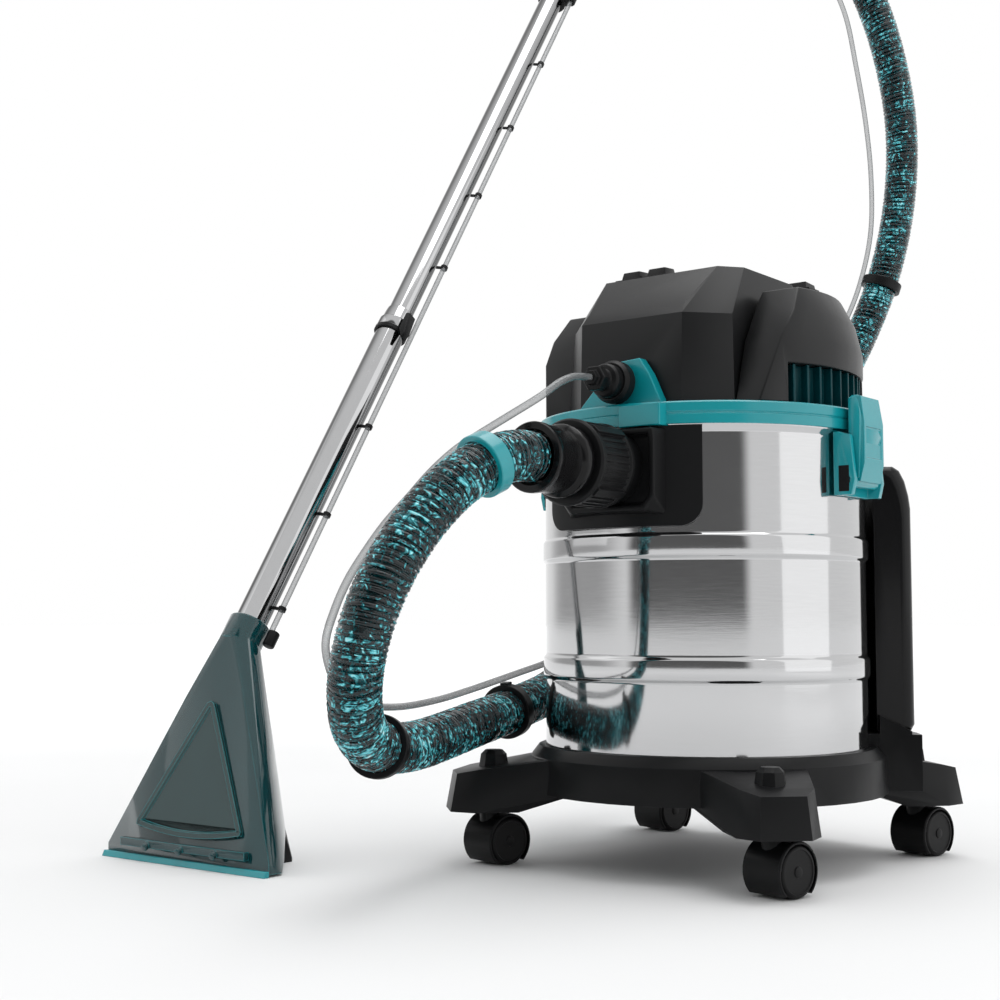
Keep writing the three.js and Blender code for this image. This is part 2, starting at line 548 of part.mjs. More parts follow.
function button([x0, x1]) {
  const [y0, y1] = BUTTON_Y;
  const z0 = HEAD_TOP - 1;
  return hull([[x0, y0, z0], [x1, y0, z0], [x0, y1, z0], [x1, y1, z0], [x0 + 2, y0 + 3, z0 + 11],
    [x1 - 2, y0 + 3, z0 + 11], [x0 + 2, y1 - 2, z0 + 12], [x1 - 2, y1 - 2, z0 + 12]]);
}

function motor() {
  const can = turned([[0, MOTOR_BOTTOM - 18], [SHAFT_R, MOTOR_BOTTOM - 18], [SHAFT_R, MOTOR_BOTTOM],
    [MOTOR_R, MOTOR_BOTTOM], [MOTOR_R, MOTOR_TOP - 30], [MOTOR_R - 12, MOTOR_TOP - 26],
    [MOTOR_R - 14, MOTOR_TOP - 4], [MOTOR_R - 18, MOTOR_TOP], [0, MOTOR_TOP]], 24);
  return can;
}

function impeller() {
  const [z0, z1] = [COLLAR_TOP + 1, MOTOR_BOTTOM - 3];
  const hub = ring(SHAFT_R + GAP, 12, z0, z1, 20);
  const plate = ring(11, MOTOR_R + 4, z1 - 2, z1, 28);
  const blades = [];
  for (let i = 0; i < 6; i += 1) {
    blades.push(block(10, -1, z0 + 1, MOTOR_R + 2, 1, z1 - 1).rotateZ(rad(60 * i)));
  }
  return join(hub, plate, ...blades);
}

function motorPlate() {
  return ring(INTAKE_R, COLLAR_IN - GAP * 2, PLATE_Z, PLATE_Z + PLATE_T, 36);
}

function floatCage() {
  const top = PLATE_Z - GAP;
  const wall = turned([[INTAKE_R + 2, top], [CAGE_R + 8, top], [CAGE_R + 8, top - 4], [CAGE_R, top - 6],
    [CAGE_R, CAGE_BOTTOM], [0, CAGE_BOTTOM], [0, CAGE_BOTTOM + 3], [CAGE_R - 3, CAGE_BOTTOM + 3],
    [CAGE_R - 3, top - 6], [INTAKE_R + 2, top - 6], [INTAKE_R + 2, top]], 24);
  const windows = [];
  for (let i = 0; i < 6; i += 1) {
    windows.push(block(CAGE_R - 12, -12, CAGE_BOTTOM + 12, CAGE_R + 20, 12, top - 16).rotateZ(rad(60 * i)));
  }
  return cut(wall, ...windows);
}

function ball() {
  return new THREE.SphereGeometry(BALL_R, 18, 10).translate(0, 0, CAGE_BOTTOM + 3 + BALL_R + GAP);
}

function pump() {
  const body = block(-22, 16 - HEAD_Y, COLLAR_TOP + 4, 22, 66 - HEAD_Y, COLLAR_TOP + 39);
  const head = layForward(disc(17, HEAD_Y - 68, HEAD_Y - 14, 1, 16), PLUG_Z + 1);
  return join(body, head);
}

function quickPlug() {
  return layForward(turned([[0, HEAD_Y - 13], [PLUG_R, HEAD_Y - 13], [PLUG_R, HEAD_Y + 13], [13, HEAD_Y + 13],
    [13, HEAD_Y + 17], [6, HEAD_Y + 18], [6, HEAD_Y + 32], [5, HEAD_Y + 34], [0, HEAD_Y + 34]], 16), PLUG_Z);
}

const COUPLER_START = HEAD_Y + 18 + GAP * 2;

function quickCoupler() {
  const y0 = COUPLER_START;
  return layForward(turned([[0, y0 + 17], [6 + GAP * 2, y0 + 17], [6 + GAP * 2, y0], [SLEEVE_R - 4, y0],
    [SLEEVE_R - 4, y0 + 24], [13, y0 + 27], [8, y0 + 29], [7, y0 + 44], [0, y0 + 44]], 16), PLUG_Z);
}

function couplerSleeve() {
  const [inner, y0] = [SLEEVE_R - 4 + GAP, COUPLER_START];
  return layForward(turned([[inner, y0], [SLEEVE_R - 1, y0], [SLEEVE_R, y0 + 2], [SLEEVE_R, y0 + 12],
    [SLEEVE_R - 2, y0 + 14], [inner, y0 + 14], [inner, y0]], 16), PLUG_Z);
}

function cordGland() {
  const y = HEAD_BACK;
  return turned([[0, y - 22], [7, y - 22], [7, y + 2], [10, y + 2], [10, y + 7], [8, y + 24], [6, y + 28],
    [0, y + 28]], 20).rotateX(-Math.PI / 2).translate(0, 0, CORD_Z);
}

add('collar', collar(), teal);
add('rim_gasket', ring(DRUM_R - DRUM_WALL - 4, DRUM_R + 1, DRUM_TOP + GAP, DRUM_TOP + GAP + GASKET_H, 24),
  rubberBlack);
add('head_housing', housing(), satinBlack);
for (const [side, turn] of [['right', 0], ['left', Math.PI]]) {
  add(`side_shroud_${side}`, shroud().rotateZ(turn), satinBlack);
  add(`exhaust_grille_${side}`, grille().rotateZ(turn), teal);
}
add('carry_handle', handle(), satinBlack);
for (const [name, span] of Object.entries(BUTTONS)) add(name, button(span), glossBlack);
add('motor', motor(), greyMetal);
add('fan_impeller', impeller(), greyMetal);
add('motor_plate', motorPlate(), satinBlack);
add('float_cage', floatCage(), satinBlack);
add('float_ball', ball(), white);
add('solution_pump', pump(), satinBlack);
add('outlet_plug', quickPlug(), satinBlack);
add('quick_coupler', quickCoupler(), satinBlack);
add('coupler_sleeve', couplerSleeve(), satinBlack);
add('cord_gland', cordGland(), rubberBlack);

// ---------------------------------------------------------------- wand, drawn along +Z from its neck
function onWand(geometry) {
  return geometry.rotateX(-rad(WAND_LEAN)).translate(NECK.x, NECK.y, NECK.z);
}

function aimed(geometry, start, direction) {
  const turn = new THREE.Quaternion().setFromUnitVectors(new THREE.Vector3(0, 0, 1), direction.clone().normalize());
  return geometry.applyQuaternion(turn).translate(start.x, start.y, start.z);
}

const LINE_X = LOWER_R + 6.9;    // the thin solution line beside the wand
const LINE_Y = 9.5;
const LINE_R = 2.8;
const FITTING_TOP = 4;           // top of the nozzle's solution fitting
const GRIP_R = UPPER_R + 2.9;
const GRIP_PATH = [[0, 0, 960], [0, 0, 1000], [0, 9, 1038], [0, 29, 1072], [0, 56, 1100], [0, 86, 1124],
  [0, 112, 1142]];
const GRIP_END = new THREE.Vector3(...GRIP_PATH.at(-1));
const GRIP_OUT = GRIP_END.clone().sub(new THREE.Vector3(...GRIP_PATH.at(-2))).normalize();
const CUFF_LENGTH = 34;
const BARB_X = 30;              // the solution tube's fitting beside the grip

function nozzleOutline(shrink) {
  const s = shrink;
  const points = [];
  for (let i = 0; i < 16; i += 1) {
    const a = (2 * Math.PI * i) / 16;
    const p = new THREE.Vector3((NECK_R - s) * Math.cos(a), (NECK_R - s) * Math.sin(a), s ? -9 : -14)
      .applyAxisAngle(new THREE.Vector3(1, 0, 0), -rad(WAND_LEAN)).add(NECK);
    points.push([p.x - WAND_X, p.y, p.z]);
  }
  for (const side of [-1, 1]) {
    points.push([side * (40 - s), LIP_Y + 33 + s, 150], [side * (26 - s), LIP_Y + 66 - s, 150]);
    points.push([side * (LIP_HALF - s), LIP_Y + s, s ? -5 : 2], [side * (LIP_HALF - s), LIP_Y + s, 12]);
    points.push([side * (LIP_HALF - s), LIP_Y + 16 - s, s ? -5 : 2], [side * (62 - s), LIP_Y + 66 - s, 30]);
    if (!s) points.push([side * 62, LIP_Y + 66, 8]);
  }
  return hull(points).translate(WAND_X, 0, 0);
}

function nozzle() {
  const sleeve = onWand(disc(NECK_R, -18, 8, 1, 24));
  const socket = onWand(disc(LOWER_R + GAP, -8 - GAP, 20, 0, 24));
  return cut(join(nozzleOutline(0), sleeve), nozzleOutline(3.5), socket);
}

const FACE_TILT = Math.atan2(33, 138);   // the nozzle's front leans back by this much

function onFace(geometry) {
  return geometry.rotateX(Math.PI / 2 - FACE_TILT).translate(WAND_X, LIP_Y - GAP, 12);
}

function nozzleWindow() {
  const shape = new THREE.Shape();
  shape.moveTo(-54, 26);
  shape.quadraticCurveTo(-56, 18, -48, 18);
  shape.lineTo(48, 18);
  shape.quadraticCurveTo(56, 18, 54, 26);
  shape.lineTo(6, 116);
  shape.quadraticCurveTo(0, 122, -6, 116);
  shape.closePath();
  return onFace(new THREE.ExtrudeGeometry(shape, { depth: 3, bevelEnabled: false, curveSegments: 6 }));
}

function sprayBar() {
  const bar = block(-84, LIP_Y - 6, 12.5, 84, LIP_Y - GAP, 20);
  const jets = [-46, 0, 46].map((x) => disc(3.4, 0, 7, 0.8, 16).rotateX(Math.PI / 2 + 0.5)
    .translate(x, LIP_Y - 4, 16));
  const clear = onFace(block(-200, 0, -40, 200, 60, 0));
  return cut(join(bar, ...jets).translate(WAND_X, 0, 0), clear);
}

function suctionLip() {
  return hull([-1, 1].flatMap((s) => [[s * (LIP_HALF + 1), LIP_Y - GAP, 0], [s * (LIP_HALF + 1), LIP_Y - GAP, 12],
    [s * (LIP_HALF + 1), LIP_Y - 7, 0], [s * (LIP_HALF + 1), LIP_Y - 3, 12]])).translate(WAND_X, 0, 0);
}

function nozzleSkid() {
  const y = LIP_Y + 66 + GAP;
  const skid = hull([-1, 1].flatMap((s) => [[s * 60, y, 9], [s * 60, y, 29], [s * 60, y + 12, 0], [s * 60, y, 0],
    [s * 52, y + 13, 12], [s * 52, y + 8, 34]]));
  return cut(skid.translate(WAND_X, 0, 0), nozzleOutline(0).translate(0, GAP, 0));
}

function nozzleFitting() {
  return onWand(disc(6, FITTING_TOP - 16, FITTING_TOP, 1, 16).translate(LINE_X + 4.5, LINE_Y, 0));
}

function coupling() {
  return onWand(turned([[LOWER_R + GAP, LOWER_LENGTH - 22], [LOWER_R + 4, LOWER_LENGTH - 22],
    [LOWER_R + 4, LOWER_LENGTH + 10], [LOWER_R + 1, LOWER_LENGTH + 18], [UPPER_R + GAP, LOWER_LENGTH + 18],
    [UPPER_R + GAP, LOWER_LENGTH + GAP], [LOWER_R + GAP, LOWER_LENGTH + GAP], [LOWER_R + GAP, LOWER_LENGTH - 22]],
  24));
}

function clipLever() {
  const x = LOWER_R + 4 + GAP * 2;
  return onWand(hull([[x, -10, LOWER_LENGTH + 8], [x, 3, LOWER_LENGTH + 8], [x + 5, -9, LOWER_LENGTH + 8],
    [x + 5, 2, LOWER_LENGTH + 8], [x, -10, LOWER_LENGTH - 14], [x, 3, LOWER_LENGTH - 14],
    [x + 9, -8, LOWER_LENGTH - 18], [x + 9, 1, LOWER_LENGTH - 18], [x + 7, -8, LOWER_LENGTH - 26],
    [x + 7, 1, LOWER_LENGTH - 26]]));
}

const TRIGGER_PIVOT = [GRIP_R + 4, 985];

function handleShell() {
  const [py, pz] = TRIGGER_PIVOT;
  const grip = swept(GRIP_PATH, GRIP_R, 12, 12);
  const socket = disc(GRIP_R + 2, 928, 976, 1.5, 24);
  const boss = block(-10, 5, pz - 8, 10, py + 4, pz + 8);
  const spigot = aimed(disc(12, -4, 22, 1, 16), GRIP_END, GRIP_OUT);
  const port = disc(7, 930, 950, 1, 12).translate(LINE_X - 1, LINE_Y, 0);
  const barbStart = GRIP_END.clone().addScaledVector(GRIP_OUT, -30).add(new THREE.Vector3(BARB_X, 0, 0));
  const barb = aimed(disc(5, 0, 24, 1, 12), barbStart, GRIP_OUT);
  const barbWeb = aimed(block(-BARB_X, -4, 1, 2, 4, 12), barbStart, GRIP_OUT);
  const web = block(8, LINE_Y - 5, 932, LINE_X, LINE_Y + 5, 948);
  const bore = disc(UPPER_R + GAP, 900, UPPER_END + GAP, 0, 24);
  const slot = block(-7.6, GRIP_R + 0.4, pz - 20, 7.6, 60, pz + 20);
  const pinHole = disc(2.3, -20, 20, 0, 12).rotateY(Math.PI / 2).translate(0, py, pz);
  const line = disc(LINE_R + GAP, 900, 940, 0, 12).translate(LINE_X, LINE_Y, 0);
  return onWand(cut(join(grip, socket, boss, spigot, port, web, barb, barbWeb), bore, slot, pinHole, line));
}

function trigger() {
  const [py, pz] = TRIGGER_PIVOT;
  const blade = hull([-1, 1].flatMap((s) => [[s * 7, py - 2.4, pz], [s * 7, py + 2.6, pz - 2],
    [s * 7, py + 10, pz + 22], [s * 7, py + 5.5, pz + 23], [s * 6, py + 20, pz + 46], [s * 6, py + 16, pz + 48]]));
  const pin = disc(2, -9.5, 9.5, 0.3, 16).rotateY(Math.PI / 2).translate(0, py, pz);
  return onWand(join(blade, pin));
}

function swivelCuff() {
  const body = turned([[12 + GAP, GAP], [21, GAP], [24, 4], [24, CUFF_LENGTH - 3], [22, CUFF_LENGTH],
    [0, CUFF_LENGTH], [0, 22 + GAP * 2], [12 + GAP, 22 + GAP * 2], [12 + GAP, GAP]], 20);
  return onWand(aimed(body, GRIP_END, GRIP_OUT));
}

add('nozzle_body', nozzle(), clearTeal);
add('nozzle_window', nozzleWindow(), clearTeal);
add('spray_bar', sprayBar(), teal);
add('suction_lip', suctionLip(), teal);
add('nozzle_skid', nozzleSkid(), satinBlack);
add('nozzle_fitting', nozzleFitting(), satinBlack);
add('wand_tube_lower', onWand(ring(LOWER_R - TUBE_WALL, LOWER_R, -8, LOWER_LENGTH, 24)), chrome);
add('wand_tube_upper', onWand(ring(UPPER_R - TUBE_WALL, UPPER_R, UPPER_START, UPPER_END, 24)), chrome);
add('wand_coupling', coupling(), satinBlack);
add('clip_lever', clipLever(), satinBlack);
add('wand_line', onWand(disc(LINE_R, FITTING_TOP + GAP, 940 - GAP, 0, 12).translate(LINE_X, LINE_Y, 0)), clearPlastic);
add('wand_handle', handleShell(), satinBlack);
add('trigger', trigger(), teal);
add('hose_swivel_cuff', swivelCuff(), glossBlack);

// ---------------------------------------------------------------- hose and solution tube
const HOSE_START = [0, -CUFF_END - GAP, INLET_Z];
const HOSE_PATH = [HOSE_START, [0, -287, 355], [-1, -302, 353.5], [-4, -328, 346], [-10, -355, 331], [-17, -380, 309],
  [-24, -403, 281], [-30, -422, 249], [-36, -434, 215], [-45, -434, 181], [-60, -417, 151], [-82, -380, 129],
  [-104, -330, 119], [-122, -275, 117], [-137, -220, 121], [-150, -165, 127], [-162, -110, 133],
  [-172, -58, 140], [-181, -12, 147], [-194, 32, 155], [-210, 76, 163], [-224, 124, 173], [-233, 176, 186],
  [-236, 232, 205], [-233, 288, 232], [-226, 344, 266], [-215, 398, 308], [-201, 450, 356], [-184, 500, 409],
  [-165, 547, 466], [-144, 590, 528], [-123, 624, 594], [-102, 646, 664], [-84, 655, 738], [-73, 656, 814],
  [-70, 650, 888], [-76, 638, 960], [-90, 624, 1030], [-114, 616, 1092], [-150, 614, 1138], [-198, 614, 1162],
  [-250, 610, 1168], [-298, 598, 1160], [-328, 580, 1147], [-347, 554, 1131], [-355, 525, 1119],
  [-356, 506, 1115.3], [-356, 494.1, 1114.8]];
const TUBE_PATH = [[0, -191, 431], [0, -212, 429], [1, -236, 421], [-1, -262, 406], [-13, -287, 389],
  [-25, -308, 374], [-33, -331, 359], [-39, -354, 340], [-44, -376, 318], [-50, -396, 297], [-54, -413, 276],
  [-60, -427, 253], [-66, -435, 230], [-74, -436, 206], [-82, -422, 184], [-96, -391, 165], [-115, -344, 154],
  [-138, -276, 149], [-156, -202, 152], [-162, -160, 157], [-165, -116, 164], [-167, -70, 172],
  [-172, -20, 180], [-182, 28, 189], [-198, 76, 197], [-212, 124, 207], [-222, 172, 221], [-226, 228, 241],
  [-226, 282, 270], [-220, 334, 306], [-210, 386, 348], [-197, 436, 394], [-182, 484, 446], [-167, 528, 500],
  [-150, 568, 556], [-134, 601, 612], [-121, 624, 668], [-109, 635, 738], [-105, 631, 814], [-107, 621, 888],
  [-113, 608, 960], [-121, 593, 1030], [-140, 580, 1084], [-166, 576, 1119], [-204, 574, 1138],
  [-248, 570, 1141], [-288, 556, 1134], [-310, 531, 1125], [-321, 502, 1118], [-325.4, 476, 1114.4],
  [-326, 453.6, 1113.3]];

const hoseCurve = new THREE.CatmullRomCurve3(HOSE_PATH.map((p) => new THREE.Vector3(...p)), false, 'centripetal');

// Stands a piece drawn about +Z on the hose, some way along it, with its +X turned towards a point.
function onHose(geometry, way, towards) {
  const share = way / hoseCurve.getLength();
  const origin = hoseCurve.getPointAt(share);
  const z = hoseCurve.getTangentAt(share);
  const x = new THREE.Vector3(...towards).sub(origin);
  x.addScaledVector(z, -x.dot(z)).normalize();
  const y = new THREE.Vector3().crossVectors(z, x);
  return geometry.applyMatrix4(new THREE.Matrix4().makeBasis(x, y, z)).translate(origin.x, origin.y, origin.z);
}

function hoseClip(width, reach) {
  const band = ring(HOSE_D / 2 + 1.8, HOSE_D / 2 + 4, -width / 2, width / 2, 16);
  const lug = block(HOSE_D / 2 + 2.6, -4, -width / 2 + 1, reach, 4, width / 2 - 1);
  return join(band, lug);
}

const CLIPS = [
  { name: 'hose_clip_inlet', way: 56, towards: [-33, -331, 359], width: 14, reach: 27.5, material: teal },
  { name: 'hose_clip_loop', way: 381, towards: [-110, -356, 157], width: 9, reach: 31, material: satinBlack },
  { name: 'hose_clip_low', way: 657, towards: [-166, -90, 169], width: 12, reach: 28, material: satinBlack },
  { name: 'hose_clip_high', way: 1654, towards: [-121, 624, 668], width: 12, reach: 25.4, material: satinBlack },
];

add('suction_hose', swept(HOSE_PATH, HOSE_D / 2, 12, 80), clearTeal);
add('solution_tube', swept(TUBE_PATH, TUBE_D / 2, 8, 72), clearPlastic);
for (const { name, way, towards, width, reach, material } of CLIPS) {
  add(name, onHose(hoseClip(width, reach), way, towards), material);
}

export default object;
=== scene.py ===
"""The looks of a carpet cleaner: a wheeled steel drum under a black motor head, with a clear teal suction
hose, a thin solution tube beside it, and a chrome wand that ends in a clear teal carpet nozzle.

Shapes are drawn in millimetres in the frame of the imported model, and piece() turns them into metres."""

import math

import bmesh
import bpy
from mathutils import Matrix, Vector


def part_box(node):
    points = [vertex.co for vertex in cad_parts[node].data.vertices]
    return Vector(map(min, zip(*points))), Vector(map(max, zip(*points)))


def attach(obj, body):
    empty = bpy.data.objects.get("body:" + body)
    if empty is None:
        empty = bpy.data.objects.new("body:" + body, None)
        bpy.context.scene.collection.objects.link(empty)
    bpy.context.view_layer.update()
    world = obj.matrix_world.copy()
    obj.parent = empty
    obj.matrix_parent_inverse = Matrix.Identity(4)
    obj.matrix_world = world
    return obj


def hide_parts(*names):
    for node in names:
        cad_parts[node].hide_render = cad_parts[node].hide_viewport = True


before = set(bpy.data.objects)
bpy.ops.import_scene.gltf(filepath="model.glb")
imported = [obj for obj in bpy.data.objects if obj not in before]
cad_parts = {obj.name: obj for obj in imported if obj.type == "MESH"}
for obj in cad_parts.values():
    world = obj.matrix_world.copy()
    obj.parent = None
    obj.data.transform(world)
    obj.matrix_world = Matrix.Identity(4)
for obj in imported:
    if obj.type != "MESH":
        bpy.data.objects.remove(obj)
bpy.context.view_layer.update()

MM = 0.001


def span(node):
    """A CAD node's lowest and highest corner, in millimetres."""
    low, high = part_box(node)
    return low / MM, high / MM


# ------------------------------------------------------------------ camera
EYE = Vector((0.7476, -1.2857, 0.2225))
SIGHT = Vector((-0.6091, 0.7893, 0.0773))
LENS = 55.95

camera = bpy.data.objects.new("camera", bpy.data.cameras.new("camera"))
camera.data.lens = LENS
camera.data.sensor_width = 36
camera.location = EYE
camera.rotation_euler = SIGHT.to_track_quat("-Z", "Y").to_euler()
bpy.context.scene.collection.objects.link(camera)
bpy.context.scene.camera = camera


# ------------------------------------------------------------------ shader maths
class Signal:
    """A value that varies over a surface: arithmetic on it adds Math nodes to its finish."""

    def __init__(self, finish, socket):
        self.finish = finish
        self.socket = socket

    def maths(self, operation, first, second=0.0):
        return self.finish.node("ShaderNodeMath", {"operation": operation}, {0: first, 1: second})

    def __add__(self, other):
        return self.maths("ADD", self, other)

    def __sub__(self, other):
        return self.maths("SUBTRACT", self, other)

    def __rsub__(self, other):
        return self.maths("SUBTRACT", other, self)

    def __mul__(self, other):
        return self.maths("MULTIPLY", self, other)

    __radd__ = __add__
    __rmul__ = __mul__

    def within(self, low, high):
        """0 at low, 1 at high, and smooth between them."""
        settings = {"interpolation_type": "SMOOTHSTEP"}
        return self.finish.node("ShaderNodeMapRange", settings, {"Value": self, "From Min": low, "From Max": high})


class Finish:
    """A procedural material. Constants go straight to the shader's own sockets."""

    def __init__(self, name, **constants):
        self.material = bpy.data.materials.new(name)
        self.material.use_nodes = True
        self.tree = self.material.node_tree
        self.shader = self.tree.nodes["Principled BSDF"]
        self.place = self.node("ShaderNodeTexCoord", output="Object")
        for socket, value in constants.items():
            self.feed(self.shader.inputs[socket.replace("_", " ")], value)

    def feed(self, socket, value):
        if isinstance(value, Signal):
            self.tree.links.new(value.socket, socket)
        elif isinstance(value, tuple) and len(value) == 3 and socket.type == "RGBA":
            socket.default_value = (*value, 1)
        else:
            socket.default_value = value

    def node(self, kind, settings=None, inputs=None, output=0):
        made = self.tree.nodes.new(kind)
        for key, value in (settings or {}).items():
            if key == "stops":
                while len(made.color_ramp.elements) < len(value):
                    made.color_ramp.elements.new(1)
                for element, (position, color) in zip(made.color_ramp.elements, value):
                    element.position = position
                    element.color = (*color, 1)
            else:
                setattr(made, key, value)
        for key, value in (inputs or {}).items():
            self.feed(made.inputs[key], value)
        return Signal(self, made.outputs[output])

    def shine(self, socket, value):
        self.feed(self.shader.inputs[socket], value)
        return self

    def scaled(self, x, y, z):
        return self.node("ShaderNodeVectorMath", {"operation": "MULTIPLY"}, {0: self.place, 1: (x, y, z)})

    def noise(self, scale, detail=3.0, where=None, distortion=0.0):
        values = {"Vector": where or self.place, "Scale": scale, "Detail": detail, "Distortion": distortion}
        return self.node("ShaderNodeTexNoise", None, values)

    def mix(self, factor, first, second):
        return self.node("ShaderNodeMix", {"data_type": "RGBA"}, {0: factor, 6: first, 7: second}, output=2)

    def edges(self, radius):
        """1 along an edge that is sharper than the radius, 0 on the flats."""
        rounded = self.node("ShaderNodeBevel", {"samples": 4}, {"Radius": radius})
        flat = self.node("ShaderNodeNewGeometry", output="Normal")
        same = self.node("ShaderNodeVectorMath", {"operation": "DOT_PRODUCT"}, {0: rounded, 1: flat}, output="Value")
        return (1 - same).within(0.01, 0.16)

    def facing(self, blend=0.5):
        return self.node("ShaderNodeLayerWeight", None, {"Blend": blend}, output="Facing")

    def bump(self, height, strength, distance=0.001):
        values = {"Strength": strength, "Distance": distance, "Height": height}
        return self.shine("Normal", self.node("ShaderNodeBump", None, values))


def moulded(name, dark, light, roughness, grain=0.05, wear_and_highlight=(0.045, 0.046, 0.049), coat=0.0, gloss=0.16):
    """Moulded plastic: a fine grain, cloudy gloss and edges painted lighter in patches and made a little glossier,
    partly handling wear and partly a painted highlight.
    """
    made = Finish(name, Coat_Roughness=0.10, Coat_Weight=coat, Specular_IOR_Level=gloss)
    cloud = made.noise(9, 4)
    edge = made.edges(0.0012) * made.noise(55, 3).within(0.35, 0.7)
    # painted highlight: the edges take the lighter edge colour in patches, partly wear and partly light caught along
    # them
    made.shine("Base Color", made.mix(edge * 0.6, made.mix(cloud, dark, light), wear_and_highlight))
    made.shine("Roughness", roughness + 0.10 * (cloud - 0.5) + 0.05 * made.noise(160, 2) - 0.06 * edge)
    return made.bump(made.noise(1100, 2), grain, 0.0004)


def metal(name, color, roughness, brush, stretch, painted_rim=(0.86, 1.3)):
    """Polished metal with faint brush lines across the stretched pattern; its colour is painted darker where it turns
    away, as a painted dark reflection at its rim.
    """
    made = Finish(name, Metallic=1.0)
    lines = made.noise(brush, 5, made.scaled(*stretch))
    smear = made.noise(7, 4)
    darker = tuple(c * 0.86 for c in color)
    face = made.mix(lines * 0.5 + smear * 0.5, darker, color)
    # painted shade: the colour falls to a tenth where the surface turns from the eye, for the dark reflections along
    # its rims
    made.shine("Base Color", made.mix(made.facing(0.5).within(*painted_rim), face, tuple(c * 0.10 for c in color)))
    made.shine("Roughness", roughness + 0.05 * lines + 0.05 * smear.within(0.45, 0.8))
    return made.bump(lines, 0.012, 0.0003)


def clear(name, thin, thick, alpha_face, alpha_edge, roughness=0.06, painted_rim=(0.03, 0.42, 0.46), coat=0.5):
    """Clear coloured plastic: see-through where it faces the eye, deep in colour where it turns away, with a painted
    highlight along its edges.
    """
    made = Finish(name, IOR=1.5, Coat_Weight=coat, Coat_Roughness=0.03)
    turn = made.facing(0.45)
    cloud = made.noise(35, 3)
    edge = made.edges(0.0016) * 0.55
    # painted highlight: the edges take the light rim colour
    made.shine("Base Color", made.mix(edge, made.mix(turn * 0.8 + cloud * 0.3, thin, thick), painted_rim))
    made.shine("Alpha", alpha_face + (alpha_edge - alpha_face) * turn)
    made.shine("Roughness", roughness + 0.05 * cloud)
    return made.bump(made.noise(60, 2), 0.015, 0.0004)


def painted_streak_light(name, scale, bright):
    """Clear ribbed plastic seen deep: painted near black for the shade inside the hose, with bright teal streaks
    painted for the light that its ribs throw.
    """
    made = Finish(name, Coat_Weight=0.5, Coat_Roughness=0.04, Specular_IOR_Level=0.3)
    light_streaks = made.noise(scale, 4, distortion=1.8)
    deep = made.noise(26, 3)
    # painted shade and painted highlights: near black up to the threshold, then teal to near white streaks
    stops = [(0.0, (0.0004, 0.0015, 0.002)), (bright, (0.0006, 0.006, 0.008)), (bright + 0.05, (0.0, 0.15, 0.18)),
             (bright + 0.11, (0.14, 0.72, 0.80)), (bright + 0.2, (0.62, 0.95, 0.98))]
    colors = made.node("ShaderNodeValToRGB", {"stops": stops}, {0: light_streaks * 0.72 + deep * 0.28}, output=0)
    made.shine("Base Color", colors)
    made.shine("Roughness", 0.08 + 0.12 * deep)
    return made.bump(light_streaks, 0.45, 0.002)


SATIN_BLACK = moulded("satin black plastic", (0.0045, 0.0047, 0.0051), (0.0080, 0.0083, 0.0090), 0.36)
HEAD_BLACK = moulded("fine grain black plastic", (0.0065, 0.0067, 0.0072), (0.0105, 0.0108, 0.0115), 0.33, 0.07,
                     gloss=0.26)
GLOSS_BLACK = moulded("gloss black plastic", (0.003, 0.003, 0.0034), (0.005, 0.005, 0.0056), 0.18, 0.004, coat=0.12)
WHEEL_BLACK = moulded("wheel black", (0.005, 0.005, 0.0054), (0.009, 0.009, 0.0096), 0.40, 0.08)
RUBBER_BLACK = moulded("black rubber", (0.012, 0.012, 0.012), (0.022, 0.022, 0.022), 0.72, 0.15)
# The teal and dark teal plastics get light teal edge colours: a painted highlight along their edges.
TEAL = moulded("teal plastic", (0.0, 0.245, 0.285), (0.008, 0.330, 0.370), 0.22, 0.02, (0.25, 0.62, 0.66), 0.3, 0.45)
DEEP_TEAL = moulded("dark teal plastic", (0.0, 0.030, 0.036), (0.0, 0.050, 0.060), 0.35, 0.03, (0.0, 0.20, 0.23))
STEEL = metal("polished stainless steel", (0.57, 0.572, 0.578), 0.05, 3, (14, 14, 260))
CHROME = metal("chrome", (0.50, 0.502, 0.508), 0.04, 3, (60, 60, 12), (0.22, 0.70))
MOTOR_METAL = metal("cast motor metal", (0.42, 0.43, 0.44), 0.35, 20, (1, 1, 1))
FLOAT_WHITE = moulded("white float", (0.70, 0.71, 0.72), (0.80, 0.81, 0.82), 0.45, 0.05, (0.9, 0.9, 0.9))
CLEAR_TEAL = clear("clear teal plastic", (0.004, 0.062, 0.070), (0.0, 0.020, 0.025), 0.80, 0.98)
WINDOW_TEAL = clear("dark teal window", (0.022, 0.068, 0.070), (0.008, 0.024, 0.026), 0.92, 0.99, coat=0.15)
HOSE_SKIN = clear("clear hose skin", (0.0, 0.06, 0.072), (0.0, 0.012, 0.016), 0.10, 0.80, 0.04)
HOSE_RIB = painted_streak_light("hose rib", 120, 0.49)
CLEAR_TUBE = clear("clear tube", (0.36, 0.38, 0.39), (0.004, 0.005, 0.006), 0.35, 1.0, 0.05, (0.3, 0.32, 0.33))


HOSE_BORE = painted_streak_light("hose bore", 75, 0.53)


# ------------------------------------------------------------------ shape helpers
def moved(shape, matrix):
    bmesh.ops.transform(shape, matrix=matrix, verts=shape.verts)
    return shape


def at(x, y, z):
    return Matrix.Translation((x, y, z))


def turn(degrees, axis):
    return Matrix.Rotation(math.radians(degrees), 4, axis)


